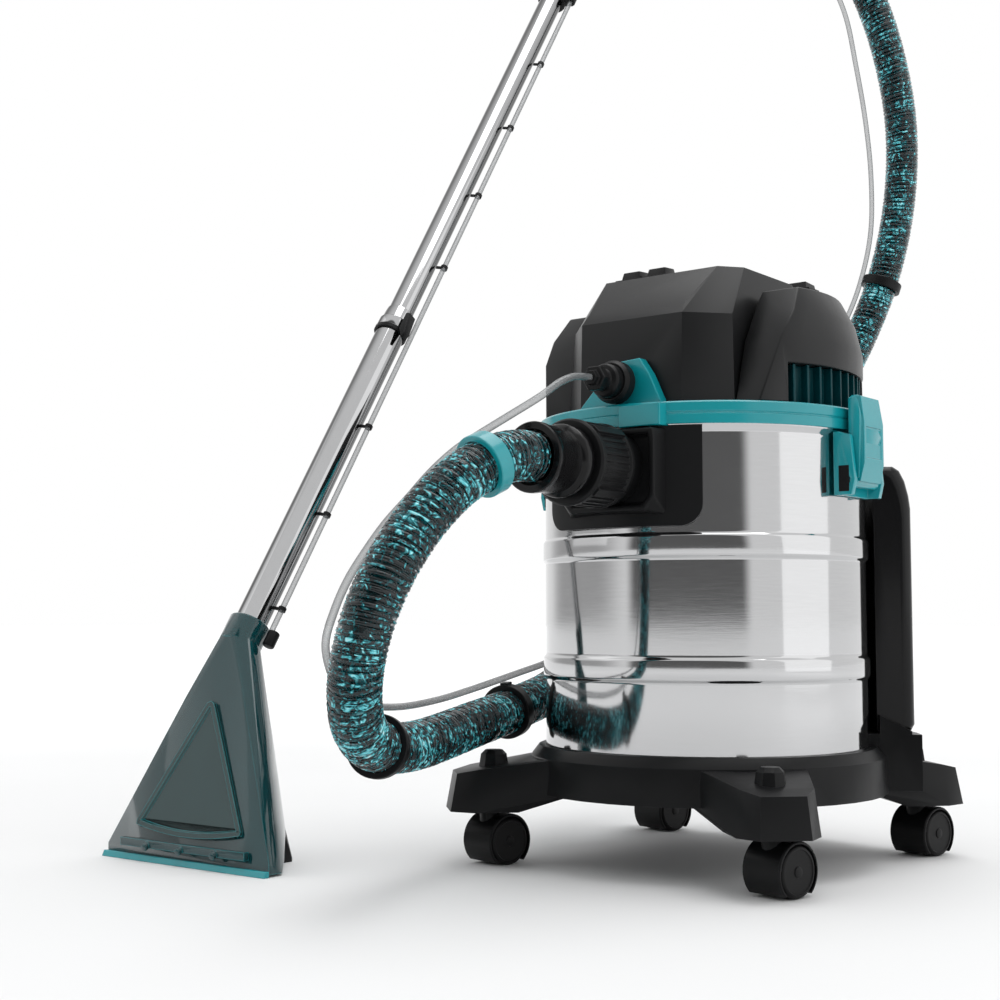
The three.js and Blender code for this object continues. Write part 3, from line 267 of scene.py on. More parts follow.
def turned(outline, steps=96):
    """A shape turned about +Z from its outline of (radius, height) points."""
    shape = bmesh.new()
    points = [shape.verts.new((r, 0, z)) for r, z in outline]
    lines = [shape.edges.new(pair) for pair in zip(points, points[1:])]
    bmesh.ops.spin(shape, geom=points + lines, cent=(0, 0, 0), axis=(0, 0, 1), angle=math.tau, steps=steps,
                   use_merge=True)
    bmesh.ops.remove_doubles(shape, verts=shape.verts, dist=0.001)
    bmesh.ops.recalc_face_normals(shape, faces=shape.faces)
    return shape


def ring(inner, outer, low, high, steps=96):
    return turned([(inner, low), (outer, low), (outer, high), (inner, high), (inner, low)], steps)


def disc(radius, low, high, ease=0.0, steps=64):
    outline = [(0, low), (radius - ease, low), (radius, low + ease), (radius, high - ease), (radius - ease, high),
               (0, high)]
    return turned(outline, steps)


def block(low, high):
    shape = bmesh.new()
    size = Vector(high) - Vector(low)
    middle = (Vector(high) + Vector(low)) / 2
    bmesh.ops.create_cube(shape, size=1, matrix=Matrix.Translation(middle) @ Matrix.Diagonal((*size, 1)))
    return shape


def prism(outline, low, high):
    """A flat outline in the XY plane, raised from one height to another."""
    shape = bmesh.new()
    face = shape.faces.new([shape.verts.new((x, y, low)) for x, y in outline])
    raised = bmesh.ops.extrude_face_region(shape, geom=[face])["geom"]
    bmesh.ops.translate(shape, vec=(0, 0, high - low), verts=[g for g in raised if isinstance(g, bmesh.types.BMVert)])
    bmesh.ops.recalc_face_normals(shape, faces=shape.faces)
    return shape


def hull(points):
    shape = bmesh.new()
    corners = [shape.verts.new(p) for p in points]
    left = bmesh.ops.convex_hull(shape, input=corners)
    bmesh.ops.delete(shape, geom=[g for g in left["geom_interior"] if isinstance(g, bmesh.types.BMVert)],
                     context="VERTS")
    bmesh.ops.dissolve_limit(shape, angle_limit=math.radians(1), verts=shape.verts, edges=shape.edges)
    bmesh.ops.recalc_face_normals(shape, faces=shape.faces)
    return shape


def lofted(sections):
    """A closed skin over sections of equal point counts, capped at the first and the last."""
    shape = bmesh.new()
    rows = [[shape.verts.new(p) for p in section] for section in sections]
    count = len(rows[0])
    for one, two in zip(rows, rows[1:]):
        for k in range(count):
            shape.faces.new((one[k], two[k], two[(k + 1) % count], one[(k + 1) % count]))
    shape.faces.new(rows[0])
    shape.faces.new(rows[-1][::-1])
    bmesh.ops.recalc_face_normals(shape, faces=shape.faces)
    return shape


def recessed(shape, front, border, slope, depth):
    """Sinks the front faces of a shape inside a flat border."""
    bmesh.ops.inset_region(shape, faces=front, thickness=border, depth=0, use_even_offset=True)
    bmesh.ops.inset_region(shape, faces=front, thickness=slope, depth=-depth, use_even_offset=True)
    return shape


def joined(*shapes):
    whole = bmesh.new()
    for shape in shapes:
        scrap = bpy.data.meshes.new("scrap")
        shape.to_mesh(scrap)
        shape.free()
        whole.from_mesh(scrap)
        bpy.data.meshes.remove(scrap)
    return whole


def around(count, make, axis="Z", first=0.0):
    """The same shape repeated evenly about an axis."""
    return joined(*[moved(make(), turn(first + 360 * i / count, axis)) for i in range(count)])


def piece(name, shape, body, finish, stands_for=(), soft=0.0, crease=30, segments=3):
    bmesh.ops.scale(shape, vec=(MM, MM, MM), verts=shape.verts)
    mesh = bpy.data.meshes.new(name)
    shape.to_mesh(mesh)
    shape.free()
    mesh.shade_smooth()
    mesh.materials.append(finish.material)
    made = bpy.data.objects.new(name, mesh)
    bpy.context.scene.collection.objects.link(made)
    if soft:
        bevel = made.modifiers.new("soft edges", "BEVEL")
        bevel.width = soft * MM
        bevel.segments = segments
        bevel.limit_method = "ANGLE"
        bevel.angle_limit = math.radians(crease)
        bevel.harden_normals = True
    else:
        mesh.set_sharp_from_angle(angle=math.radians(crease))
    return settled(made, body, stands_for)


def settled(made, body, stands_for=()):
    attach(made, body)
    if stands_for:
        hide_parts(*stands_for)
    return made


def cad_shape(node):
    """A CAD node's own shape with its loose triangles merged, in millimetres."""
    shape = bmesh.new()
    shape.from_mesh(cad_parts[node].data)
    bmesh.ops.remove_doubles(shape, verts=shape.verts, dist=1e-6)
    bmesh.ops.dissolve_limit(shape, angle_limit=math.radians(0.6), verts=shape.verts, edges=shape.edges)
    bmesh.ops.scale(shape, vec=(1 / MM,) * 3, verts=shape.verts)
    return shape


def softened(node, body, finish, soft, crease=25, segments=3):
    return piece(f"{node}_moulded", cad_shape(node), body, finish, [node], soft, crease, segments)


# ------------------------------------------------------------------ smooth lines for the hose and the tubes
class Line:
    """A smooth line through given points, measured along its length."""

    def __init__(self, points, step):
        points = [Vector(p) for p in points]
        padded = [2 * points[0] - points[1], *points, 2 * points[-1] - points[-2]]
        fine = [points[0]]
        for before, start, end, after in zip(padded, padded[1:], padded[2:], padded[3:]):
            gaps = [math.sqrt((b - a).length) for a, b in ((before, start), (start, end), (end, after))]
            leave = self.slope(before, start, end, gaps[0], gaps[1]) * gaps[1]
            arrive = self.slope(start, end, after, gaps[1], gaps[2]) * gaps[1]
            count = 12
            for i in range(1, count + 1):
                t = i / count
                fine.append((2 * t**3 - 3 * t**2 + 1) * start + (t**3 - 2 * t**2 + t) * leave
                            + (3 * t**2 - 2 * t**3) * end + (t**3 - t**2) * arrive)
        self.fine = fine
        self.ways = [0.0]
        for a, b in zip(fine, fine[1:]):
            self.ways.append(self.ways[-1] + (b - a).length)
        self.length = self.ways[-1]
        count = round(self.length / step)
        self.points = [self.point(self.length * i / count) for i in range(count + 1)]

    @staticmethod
    def slope(a, b, c, first, second):
        return (b - a) / first - (c - a) / (first + second) + (c - b) / second

    def point(self, way):
        low, high = 0, len(self.ways) - 1
        while high - low > 1:
            middle = (low + high) // 2
            low, high = (middle, high) if self.ways[middle] <= way else (low, middle)
        share = (way - self.ways[low]) / (self.ways[high] - self.ways[low])
        return self.fine[low].lerp(self.fine[high], share)

    def along(self, way):
        return (self.point(min(way + 0.5, self.length)) - self.point(max(way - 0.5, 0))).normalized()

    def standing(self, way, towards):
        """Where a piece drawn about +Z stands on the line, with its +X turned towards a point."""
        origin, z = self.point(way), self.along(way)
        x = Vector(towards) - origin
        x = (x - z * x.dot(z)).normalized()
        basis = Matrix((x, z.cross(x), z)).transposed().to_4x4()
        return Matrix.Translation(origin) @ basis

    def spiral(self, radius, pitch, per_turn, phase=0.0, start=0.0, end=None):
        """Points wound round the line at a radius."""
        end = end or self.length
        count = int((end - start) / pitch * per_turn)
        side = self.along(start).orthogonal().normalized()
        wound = []
        for i in range(count + 1):
            way = start + (end - start) * i / count
            z = self.along(way)
            side = (side - z * side.dot(z)).normalized()
            angle = math.tau * i / per_turn + phase + 0.9 * math.sin(way / 41) + 0.5 * math.sin(way / 13.7)
            wound.append(self.point(way) + radius * (math.cos(angle) * side + math.sin(angle) * z.cross(side)))
        return wound


def strand(name, points, radius, finish, sides=4):
    """A round strand along points, in millimetres, as a curve with one open spline."""
    data = bpy.data.curves.new(name, "CURVE")
    data.dimensions = "3D"
    spline = data.splines.new("POLY")
    spline.points.add(len(points) - 1)
    for knot, p in zip(spline.points, points):
        knot.co = (*(p * MM), 1)
    data.bevel_depth = radius * MM
    data.bevel_resolution = sides
    data.use_fill_caps = True
    data.materials.append(finish.material)
    made = bpy.data.objects.new(name, data)
    bpy.context.scene.collection.objects.link(made)
    return made


HOSE_ROUTE = [
    (0, -276.3, 355), (0, -287, 355), (-1, -302, 353.5), (-4, -328, 346), (-10, -355, 331), (-17, -380, 309),
    (-24, -403, 281), (-30, -422, 249), (-36, -434, 215), (-45, -434, 181), (-60, -417, 151), (-82, -380, 129),
    (-104, -330, 119), (-122, -275, 117), (-137, -220, 121), (-150, -165, 127), (-162, -110, 133),
    (-172, -58, 140), (-181, -12, 147), (-194, 32, 155), (-210, 76, 163), (-224, 124, 173), (-233, 176, 186),
    (-236, 232, 205), (-233, 288, 232), (-226, 344, 266), (-215, 398, 308), (-201, 450, 356), (-184, 500, 409),
    (-165, 547, 466), (-144, 590, 528), (-123, 624, 594), (-102, 646, 664), (-84, 655, 738), (-73, 656, 814),
    (-70, 650, 888), (-76, 638, 960), (-90, 624, 1030), (-114, 616, 1092), (-150, 614, 1138), (-198, 614, 1162),
    (-250, 610, 1168), (-298, 598, 1160), (-328, 580, 1147), (-347, 554, 1131), (-355, 525, 1119),
    (-356, 506, 1115.3), (-356, 494.1, 1114.8),
]
TUBE_ROUTE = [
    (0, -191, 431), (0, -212, 429), (1, -236, 421), (-1, -262, 406), (-13, -287, 389), (-25, -308, 374),
    (-33, -331, 359), (-39, -354, 340), (-44, -376, 318), (-50, -396, 297), (-54, -413, 276), (-60, -427, 253),
    (-66, -435, 230), (-74, -436, 206), (-82, -422, 184), (-96, -391, 165), (-115, -344, 154), (-138, -276, 149),
    (-156, -202, 152), (-162, -160, 157), (-165, -116, 164), (-167, -70, 172), (-172, -20, 180), (-182, 28, 189),
    (-198, 76, 197), (-212, 124, 207), (-222, 172, 221), (-226, 228, 241), (-226, 282, 270), (-220, 334, 306),
    (-210, 386, 348), (-197, 436, 394), (-182, 484, 446), (-167, 528, 500), (-150, 568, 556), (-134, 601, 612),
    (-121, 624, 668), (-109, 635, 738), (-105, 631, 814), (-107, 621, 888), (-113, 608, 960), (-121, 593, 1030),
    (-140, 580, 1084), (-166, 576, 1119), (-204, 574, 1138), (-248, 570, 1141), (-288, 556, 1134),
    (-310, 531, 1125), (-321, 502, 1118), (-325.4, 476, 1114.4), (-326, 453.6, 1113.3),
]
HOSE_R = 22.0
TUBE_R = 3.25
RIBS = ((11.5, 2.4, 0.0), (11.5, 1.2, 2.8), (4.6, 0.5, 1.0))      # pitch, thickness and phase of each spiral

hose_line = Line(HOSE_ROUTE, 6)
tube_line = Line(TUBE_ROUTE, 5)

CLIPS = [
    ("hose_clip_inlet", 56, (-33, -331, 359), 14, 27.5, TEAL, "teal"),
    ("hose_clip_loop", 381, (-110, -356, 157), 9, 31, SATIN_BLACK, "satin_black"),
    ("hose_clip_low", 657, (-166, -90, 169), 12, 28, SATIN_BLACK, "satin_black"),
    ("hose_clip_high", 1654, (-121, 624, 668), 12, 25.4, SATIN_BLACK, "satin_black"),
]


def hose_clip(width, reach):
    half = width / 2
    band = turned([(HOSE_R - 0.9, -half), (HOSE_R + 3.4, -half), (HOSE_R + 4, -half + 0.8), (HOSE_R + 4, half - 0.8),
                   (HOSE_R + 3.4, half), (HOSE_R - 0.9, half), (HOSE_R - 0.9, -half)], 64)
    lug = block((HOSE_R + 2.6, -4, 1 - half), (reach, 4, half - 1))
    return joined(band, lug)


skin = strand("suction_hose_skin", hose_line.points, HOSE_R - 1.6, HOSE_SKIN, 8)
settled(skin, "machine", ["suction_hose"])
bore = strand("suction_hose_bore", hose_line.points, HOSE_R - 4.6, HOSE_BORE, 6)
settled(bore, "machine")
for number, (pitch, thick, phase) in enumerate(RIBS):
    points = hose_line.spiral(HOSE_R - thick - 0.8, pitch, 22 if pitch > 10 else 14, phase)
    rib = strand(f"suction_hose_rib_{number + 1}", points, thick, HOSE_RIB, 1)
    settled(rib, "machine")
for name, way, towards, width, reach, finish, slot in CLIPS:
    shape = moved(hose_clip(width, reach), hose_line.standing(way, towards))
    piece(f"{name}_band", shape, "machine", finish, [name], soft=0.6)
tube = strand("solution_tube_clear", tube_line.points, TUBE_R, CLEAR_TUBE, 5)
settled(tube, "machine", ["solution_tube"])

# ------------------------------------------------------------------ drum and base
drum_low, drum_high = span("drum")
RIM_R = drum_high.x
DRUM_R = RIM_R - 3
DRUM_BOTTOM = drum_low.z
DRUM_TOP = drum_high.z
BEAD = 2.2
BANDS = (DRUM_BOTTOM + 82, DRUM_TOP - 109)
# half of a rolled band: the height from its middle and the share of BEAD that it stands out
HALF_BAND = ((7.2, 1), (8.2, 0.95), (9.2, 0.72), (10.6, 0.12), (11.4, 0), (12.8, 0))

drum_outline = [(0, DRUM_BOTTOM), (DRUM_R - 6, DRUM_BOTTOM), (DRUM_R - 2, DRUM_BOTTOM + 1.6),
                (DRUM_R, DRUM_BOTTOM + 6), (DRUM_R, DRUM_BOTTOM + 8)]
for band in BANDS:
    drum_outline += [(DRUM_R + share * BEAD, band - dz) for dz, share in reversed(HALF_BAND)]
    drum_outline += [(DRUM_R + share * BEAD, band + dz) for dz, share in HALF_BAND]
drum_outline += [(DRUM_R, DRUM_TOP - 12), (DRUM_R, DRUM_TOP - 10), (DRUM_R + 2.4, DRUM_TOP - 7),
                 (RIM_R, DRUM_TOP - 4), (RIM_R - 1, DRUM_TOP), (DRUM_R - 5.6, DRUM_TOP), (DRUM_R - 1.6, DRUM_TOP - 5), (DRUM_R - 1.6, DRUM_BOTTOM + 2.4),
                 (0, DRUM_BOTTOM + 2.4)]
piece("steel_drum", turned(drum_outline, 192), "machine", STEEL, ["drum"], crease=50)

softened("base", "machine", SATIN_BLACK, 1.6, 28)

# ------------------------------------------------------------------ casters
WHEEL_R = 21.5
WHEEL_OUT = 19.5
WHEEL_IN = 4.2
TRAIL = 9
AXLE_TURN = -12
HOOD_OPEN = 42                   # degrees each side of the lowest point
CASTER_R = 205
ARMS = {"front_right": -45, "front_left": -135, "rear_right": 45, "rear_left": 135}


def caster_place(degrees):
    swivel = Vector((CASTER_R, 0, 0)) @ Matrix.Rotation(-math.radians(degrees), 3, "Z")
    return at(swivel.x, swivel.y, 0) @ turn(AXLE_TURN, "Z") @ at(0, TRAIL, WHEEL_R) @ turn(90, "Y")


def wheel(side):
    """One wheel of the pair, drawn about the axle: a flat face with a thin raised rim and a hub cap."""
    out, inner = WHEEL_OUT, WHEEL_IN
    outline = [(0, inner), (WHEEL_R - 1.2, inner), (WHEEL_R, inner + 1.2), (WHEEL_R, out - 3),
               (WHEEL_R - 0.8, out - 1), (WHEEL_R - 2.4, out), (WHEEL_R - 3.4, out), (WHEEL_R - 3.9, out - 0.8), (WHEEL_R - 9, out - 0.9),
               (4.6, out - 0.9), (4.4, out - 0.2), (3.8, out), (0, out)]
    shape = turned(outline, 72)
    return shape if side > 0 else moved(shape, turn(180, "X"))


def hood_shell():
    """The curved cover over both wheels, open near the floor."""
    shape = bmesh.new()
    inner, outer, out = WHEEL_R + 1.2, WHEEL_R + 3.2, WHEEL_OUT - 0.1
    section = [(inner, -out), (outer - 1, -out), (outer, -out + 1), (outer, out - 1), (outer - 1, out), (inner, out)]
    face = shape.faces.new([shape.verts.new((r, 0, z)) for r, z in section])
    moved(shape, turn(HOOD_OPEN, "Z"))
    bmesh.ops.spin(shape, geom=[face, *face.edges, *face.verts], cent=(0, 0, 0), axis=(0, 0, 1),
                   angle=math.radians(360 - 2 * HOOD_OPEN), steps=56)
    bmesh.ops.recalc_face_normals(shape, faces=shape.faces)
    return shape


for place, degrees in ARMS.items():
    shell = moved(hood_shell(), caster_place(degrees))
    piece(f"caster_hood_{place}", shell, f"caster_{place}", SATIN_BLACK, crease=40)
    pair = joined(wheel(1), wheel(-1), disc(3.6, -WHEEL_IN - 1, WHEEL_IN + 1))
    piece(f"caster_tyres_{place}", moved(pair, caster_place(degrees)), f"wheels_{place}",
          WHEEL_BLACK, [f"caster_wheels_{place}"], crease=40)
    softened(f"caster_fork_{place}", f"caster_{place}", SATIN_BLACK, 0.7, 30)

# ------------------------------------------------------------------ suction inlet, drawn standing and laid along -Y
INLET_Z = DRUM_TOP - 41
INLET_FACE = DRUM_R + 16
SOCKET_END = INLET_FACE + 24
LOCK_END = INLET_FACE + 60
CUFF_END = LOCK_END + 50
BORE_R = 18.5
CUFF_R = 27
LOCK_R = 36.5
forward = at(0, 0, INLET_Z) @ turn(90, "X")

PLATE_TURN = 30
PLATE_BOTTOM = INLET_Z - 52
PLATE_TOP = DRUM_TOP - 7
PLATE_CORNER = 20


def curved_plate(inner, outer):
    """A plate laid round the drum, with two rounded lower corners."""
    columns = []
    steps = 48
    half = math.radians(PLATE_TURN) * outer
    for i in range(steps + 1):
        along = half * math.sin(math.pi * (i / steps - 0.5))
        inside = max(abs(along) - (half - PLATE_CORNER), 0)
        low = PLATE_BOTTOM + PLATE_CORNER - math.sqrt(max(PLATE_CORNER**2 - inside**2, 0))
        a = along / outer
        section = [(outer, low), (outer, PLATE_TOP), (inner, PLATE_TOP), (inner, low)]
        columns.append([(r * math.sin(a), -r * math.cos(a), z) for r, z in section])
    return lofted(columns)


def inlet_frame():
    """The raised frame that carries the inlet, hollowed in front."""
    shape = hull([(s * x, -y, z) for s in (-1, 1) for x, y, z in (
        (50, DRUM_R - 4, INLET_Z + 32), (50, DRUM_R - 4, INLET_Z - 43), (46, INLET_FACE, INLET_Z + 32),
        (48, INLET_FACE, INLET_Z + 22), (48, INLET_FACE, INLET_Z - 27), (38, INLET_FACE, INLET_Z - 39))])
    front = [f for f in shape.faces if f.normal.y < -0.99]
    return recessed(shape, front, border=5, slope=1.5, depth=5.5)


piece("inlet_plate_curved", curved_plate(DRUM_R + 2.5, DRUM_R + 8), "machine", SATIN_BLACK,
      ["inlet_plate"], soft=1.6, crease=40)
piece("inlet_frame", inlet_frame(), "machine", SATIN_BLACK, soft=1.8, crease=30)
socket_outline = [(BORE_R, INLET_FACE - 5.7), (LOCK_R - 3, INLET_FACE - 5.7), (LOCK_R - 3, INLET_FACE + 7),
                  (LOCK_R - 4, INLET_FACE + 8), (CUFF_R + 3, INLET_FACE + 8), (CUFF_R + 3, SOCKET_END - 1),
                  (CUFF_R + 2, SOCKET_END), (BORE_R, SOCKET_END), (BORE_R, INLET_FACE - 5.7)]
piece("socket_turned", moved(turned(socket_outline, 96), forward), "machine", SATIN_BLACK,
      ["inlet_socket"], soft=0.4)

lock_outline = [(CUFF_R + 3.6, INLET_FACE + 10), (LOCK_R - 1, INLET_FACE + 10), (LOCK_R + 0.6, INLET_FACE + 11.5),
                (LOCK_R + 0.6, INLET_FACE + 15), (LOCK_R - 1.4, INLET_FACE + 17), (LOCK_R - 1.4, LOCK_END - 8),
                (LOCK_R + 0.4, LOCK_END - 6.5), (LOCK_R + 0.4, LOCK_END - 2), (LOCK_R - 1.5, LOCK_END),
                (CUFF_R + 0.9, LOCK_END), (CUFF_R + 0.9, SOCKET_END + 0.5), (CUFF_R + 3.6, SOCKET_END + 0.5),
                (CUFF_R + 3.6, INLET_FACE + 10)]
LOCK_RIBS = 36


def lock_rib():
    return block((LOCK_R - 2.4, -1.3, INLET_FACE + 16), (LOCK_R - 0.2, 1.3, LOCK_END - 7))


def lock_lug():
    return block((LOCK_R - 2, -4, INLET_FACE + 14), (LOCK_R + 1.9, 4, LOCK_END - 5))


lock = joined(turned(lock_outline, 120), around(LOCK_RIBS, lock_rib), around(4, lock_lug, first=45))
piece("locking_ring_ribbed", moved(lock, forward), "locking_ring", SATIN_BLACK, ["locking_ring"],
      soft=0.5)

cuff_outline = [(BORE_R, SOCKET_END + 0.6), (CUFF_R, SOCKET_END + 0.6), (CUFF_R, LOCK_END + 1.5),
                (CUFF_R + 3.4, LOCK_END + 2.5), (CUFF_R + 4, LOCK_END + 4), (CUFF_R + 4, LOCK_END + 11),
                (CUFF_R + 3.4, LOCK_END + 12.4), (CUFF_R, LOCK_END + 15), (CUFF_R, LOCK_END + 24),
                (CUFF_R + 1.2, LOCK_END + 26), (CUFF_R + 1.2, CUFF_END - 8), (CUFF_R + 2.4, CUFF_END - 6),
                (CUFF_R + 2.4, CUFF_END - 1.5), (CUFF_R + 1.6, CUFF_END - 0.4), (CUFF_R - 3.6, CUFF_END),
                (CUFF_R - 4.4, CUFF_END - 1), (CUFF_R - 4.6, CUFF_END - 12), (BORE_R, CUFF_END - 14),
                (BORE_R, SOCKET_END + 0.6)]
piece("hose_cuff_turned", moved(turned(cuff_outline, 96), forward), "machine", GLOSS_BLACK,
      ["hose_inlet_cuff"], crease=35)

# ------------------------------------------------------------------ side latches and tank
for side in ("right", "left"):
    softened(f"latch_bracket_{side}", "machine", TEAL, 1.2, 30)
    softened(f"latch_lever_{side}", f"latch_{side}", TEAL, 2.0, 30, 4)
    way = turn(0 if side == "right" else 180, "Z")
    low, high = span("latch_lever_right")
    cover = hull([(low.x + x, s * y, low.z + z) for s in (-1, 1) for x, y, z in (
        (5, 21, 7), (14, 21, 5), (high.x - low.x, 20, 22), (high.x - low.x, 20, 58), (14.5, 19, 81), (6, 19, 81))])
    recessed(cover, [f for f in cover.faces if f.normal.x > 0.99], border=4, slope=0.8, depth=0.9)
    piece(f"latch_cover_{side}", moved(cover, way), f"latch_{side}", TEAL, soft=1.6, segments=4)
    recess = joined(block((DRUM_R + 4, -31.3, low.z - 4), (DRUM_R + 14, -29, low.z + 19)),
                    block((DRUM_R + 4, 29, low.z - 4), (DRUM_R + 14, 31.3, low.z + 19)))
    piece(f"latch_recess_{side}", moved(recess, way), "machine", SATIN_BLACK, soft=0.6)
tank_low, tank_high = span("solution_tank")
TANK_IN = DRUM_R + 8.5
TANK_OUT = tank_high.y
TANK_TOP = tank_high.z - 8
TANK_TURN = 58
TANK_ROUND = 12                  # radius of its upright edges
TANK_GROOVE = 9                  # degrees from each end of the tank
GROOVE_DEPTH = 5
GROOVE_SPREAD = 1.6              # degrees


def tank_shell():
    """A tall rounded tank that curves round the drum, with a groove near each end."""
    columns = []
    steps = 120
    for i in range(steps + 1):
        a = TANK_TURN * math.sin(math.pi * (i / steps - 0.5))
        end = (TANK_TURN - abs(a)) * math.radians(1) * TANK_OUT
        back = TANK_ROUND * (1 - math.sqrt(max(1 - max(1 - end / TANK_ROUND, 0) ** 2, 0)))
        groove = GROOVE_DEPTH * math.exp(-(((TANK_TURN - abs(a)) - TANK_GROOVE) / GROOVE_SPREAD) ** 2)
        out = TANK_OUT - back - groove
        rise = back * 0.9
        section = [(TANK_IN, tank_low.z + 2), (TANK_IN + 2, tank_low.z), (out - 9, tank_low.z),
                   (out - 3, tank_low.z + 2.5), (out, tank_low.z + 8), (out, TANK_TOP - 40 - rise),
                   (out - 1.5, TANK_TOP - 28 - rise), (out - 5, TANK_TOP - 14 - rise),
                   (out - 10, TANK_TOP - 4 - rise), (out - 16, TANK_TOP - rise),
                   (TANK_IN + 2, TANK_TOP - rise), (TANK_IN, TANK_TOP - 2 - rise)]
        t = math.radians(90 + a)
        columns.append([(r * math.cos(t), r * math.sin(t), z) for r, z in section])
    return lofted(columns)


piece("tank_shell", tank_shell(), "tank", GLOSS_BLACK, ["solution_tank"], crease=50)
spout = moved(ring(8, 12, TANK_TOP - 3, TANK_TOP + 8, 64), at(0, (TANK_IN + TANK_OUT) / 2 - 1.5, 0))
piece("tank_spout", spout, "tank", GLOSS_BLACK, soft=0.5)
softened("tank_cap", "tank_cap", SATIN_BLACK, 0.6, 25)

# ------------------------------------------------------------------ head
collar_low, collar_high = span("collar")
COLLAR_R = collar_high.x
COLLAR_TOP = DRUM_TOP + 15
COLLAR_SKIRT = DRUM_TOP - 5
PLUG_Z = COLLAR_TOP + 20
HEAD_Y = DRUM_R - 22

band_outline = [(COLLAR_R - 18, COLLAR_TOP - 11), (RIM_R + 0.3, COLLAR_TOP - 11), (RIM_R + 0.3, COLLAR_SKIRT),
                (COLLAR_R, COLLAR_SKIRT), (COLLAR_R, COLLAR_SKIRT + 8.6), (COLLAR_R - 0.9, COLLAR_SKIRT + 9.2),
                (COLLAR_R - 0.9, COLLAR_SKIRT + 10.2), (COLLAR_R, COLLAR_SKIRT + 10.8), (COLLAR_R, COLLAR_TOP - 1.6),
                (COLLAR_R - 1.6, COLLAR_TOP), (COLLAR_R - 18, COLLAR_TOP), (COLLAR_R - 18, COLLAR_TOP - 11)]
outlet = prism([(-46, COLLAR_TOP - 4), (-46, COLLAR_TOP + 1), (-8, PLUG_Z + 20), (18, PLUG_Z + 22), (28, PLUG_Z + 7),
                (40, COLLAR_TOP + 1), (40, COLLAR_TOP - 4)], 0, 11.7)
outlet = moved(outlet, at(0, -HEAD_Y - 0.3, 0) @ turn(90, "X"))
tab = block((8, collar_low.y, COLLAR_SKIRT - 1.5), (50, -COLLAR_R + 14, COLLAR_TOP - 2))
piece("collar_ring", turned(band_outline, 192), "head", TEAL, ["collar"], soft=0.5, crease=35)
piece("outlet_plate", joined(outlet, tab), "head", TEAL, ["collar"], soft=1.2)
seal = ring(DRUM_R - 5.6, DRUM_R + 1, DRUM_TOP + 0.3, DRUM_TOP + 3.7, 96)
piece("gasket_turned", seal, "head", RUBBER_BLACK, ["rim_gasket"], soft=0.6)

softened("head_housing", "head", HEAD_BLACK, 2.2, 12, 4)
for side in ("right", "left"):
    softened(f"side_shroud_{side}", "head", HEAD_BLACK, 2.6, 22, 4)
    softened(f"exhaust_grille_{side}", "head", DEEP_TEAL, 0.5, 30)
softened("carry_handle", "head", HEAD_BLACK, 3.5, 25, 5)
for name in ("power_button", "pump_button"):
    softened(name, name, GLOSS_BLACK, 1.4, 25, 4)

for node, slot, finish in (("motor", "motor_metal", MOTOR_METAL), ("motor_plate", "satin_black", SATIN_BLACK),
                           ("float_cage", "satin_black", SATIN_BLACK), ("solution_pump", "satin_black", SATIN_BLACK),
                           ("cord_gland", "rubber_black", RUBBER_BLACK), ("outlet_plug", "satin_black", SATIN_BLACK)):
    softened(node, "head", finish, 0.8, 30)
softened("fan_impeller", "fan", MOTOR_METAL, 0.3, 30)

ball_low, ball_high = span("float_ball")
ball = bmesh.new()
bmesh.ops.create_uvsphere(ball, u_segments=48, v_segments=24, radius=(ball_high.z - ball_low.z) / 2)
piece("float_ball_round", moved(ball, at(*((ball_low + ball_high) / 2))), "float", FLOAT_WHITE,
      ["float_ball"])

# the solution coupler: a hexagonal nut, stepped collars and a sleeve that slides back
coupler_far, coupler_near = span("quick_coupler")
COUPLER_Y = -coupler_near.y
COUPLER_END = -coupler_far.y
outward = at(0, 0, PLUG_Z) @ turn(90, "X")
coupler_outline = [(6.6, COUPLER_Y), (15, COUPLER_Y), (15, COUPLER_Y + 21), (13.5, COUPLER_Y + 23.5),
                   (10, COUPLER_Y + 25),
                   (9.4, COUPLER_Y + 28), (9.4, COUPLER_Y + 30), (0, COUPLER_Y + 30), (0, COUPLER_Y + 17),
                   (6.6, COUPLER_Y + 17), (6.6, COUPLER_Y)]
nut = turned([(0, COUPLER_Y + 29.5), (11.2, COUPLER_Y + 29.5), (11.8, COUPLER_Y + 30.5), (11.8, COUPLER_Y + 38),
              (11.0, COUPLER_Y + 39), (8, COUPLER_Y + 39), (7, COUPLER_Y + 40), (6.6, COUPLER_END),
              (0, COUPLER_END)], 6)
piece("coupler_body", moved(turned(coupler_outline, 64), outward), "head", SATIN_BLACK,
      ["quick_coupler"], soft=0.5)
piece("coupler_nut", moved(nut, outward), "head", SATIN_BLACK, ["quick_coupler"], soft=0.5)
sleeve_near = span("coupler_sleeve")[1]
SLEEVE_Y = -sleeve_near.y
SLEEVE_R = sleeve_near.x
sleeve_outline = [(15.3, SLEEVE_Y), (SLEEVE_R - 1, SLEEVE_Y), (SLEEVE_R, SLEEVE_Y + 1.5), (SLEEVE_R, SLEEVE_Y + 10),
                  (SLEEVE_R - 1, SLEEVE_Y + 11.5), (SLEEVE_R - 2.4, SLEEVE_Y + 14), (15.3, SLEEVE_Y + 14),
                  (15.3, SLEEVE_Y)]


def sleeve_rib():
    return block((SLEEVE_R - 1.5, -0.7, SLEEVE_Y + 2), (SLEEVE_R - 0.05, 0.7, SLEEVE_Y + 9.5))


piece("coupler_sleeve_ribbed", moved(joined(turned(sleeve_outline, 72), around(30, sleeve_rib)), outward), "coupler",
      SATIN_BLACK, ["coupler_sleeve"], soft=0.3)

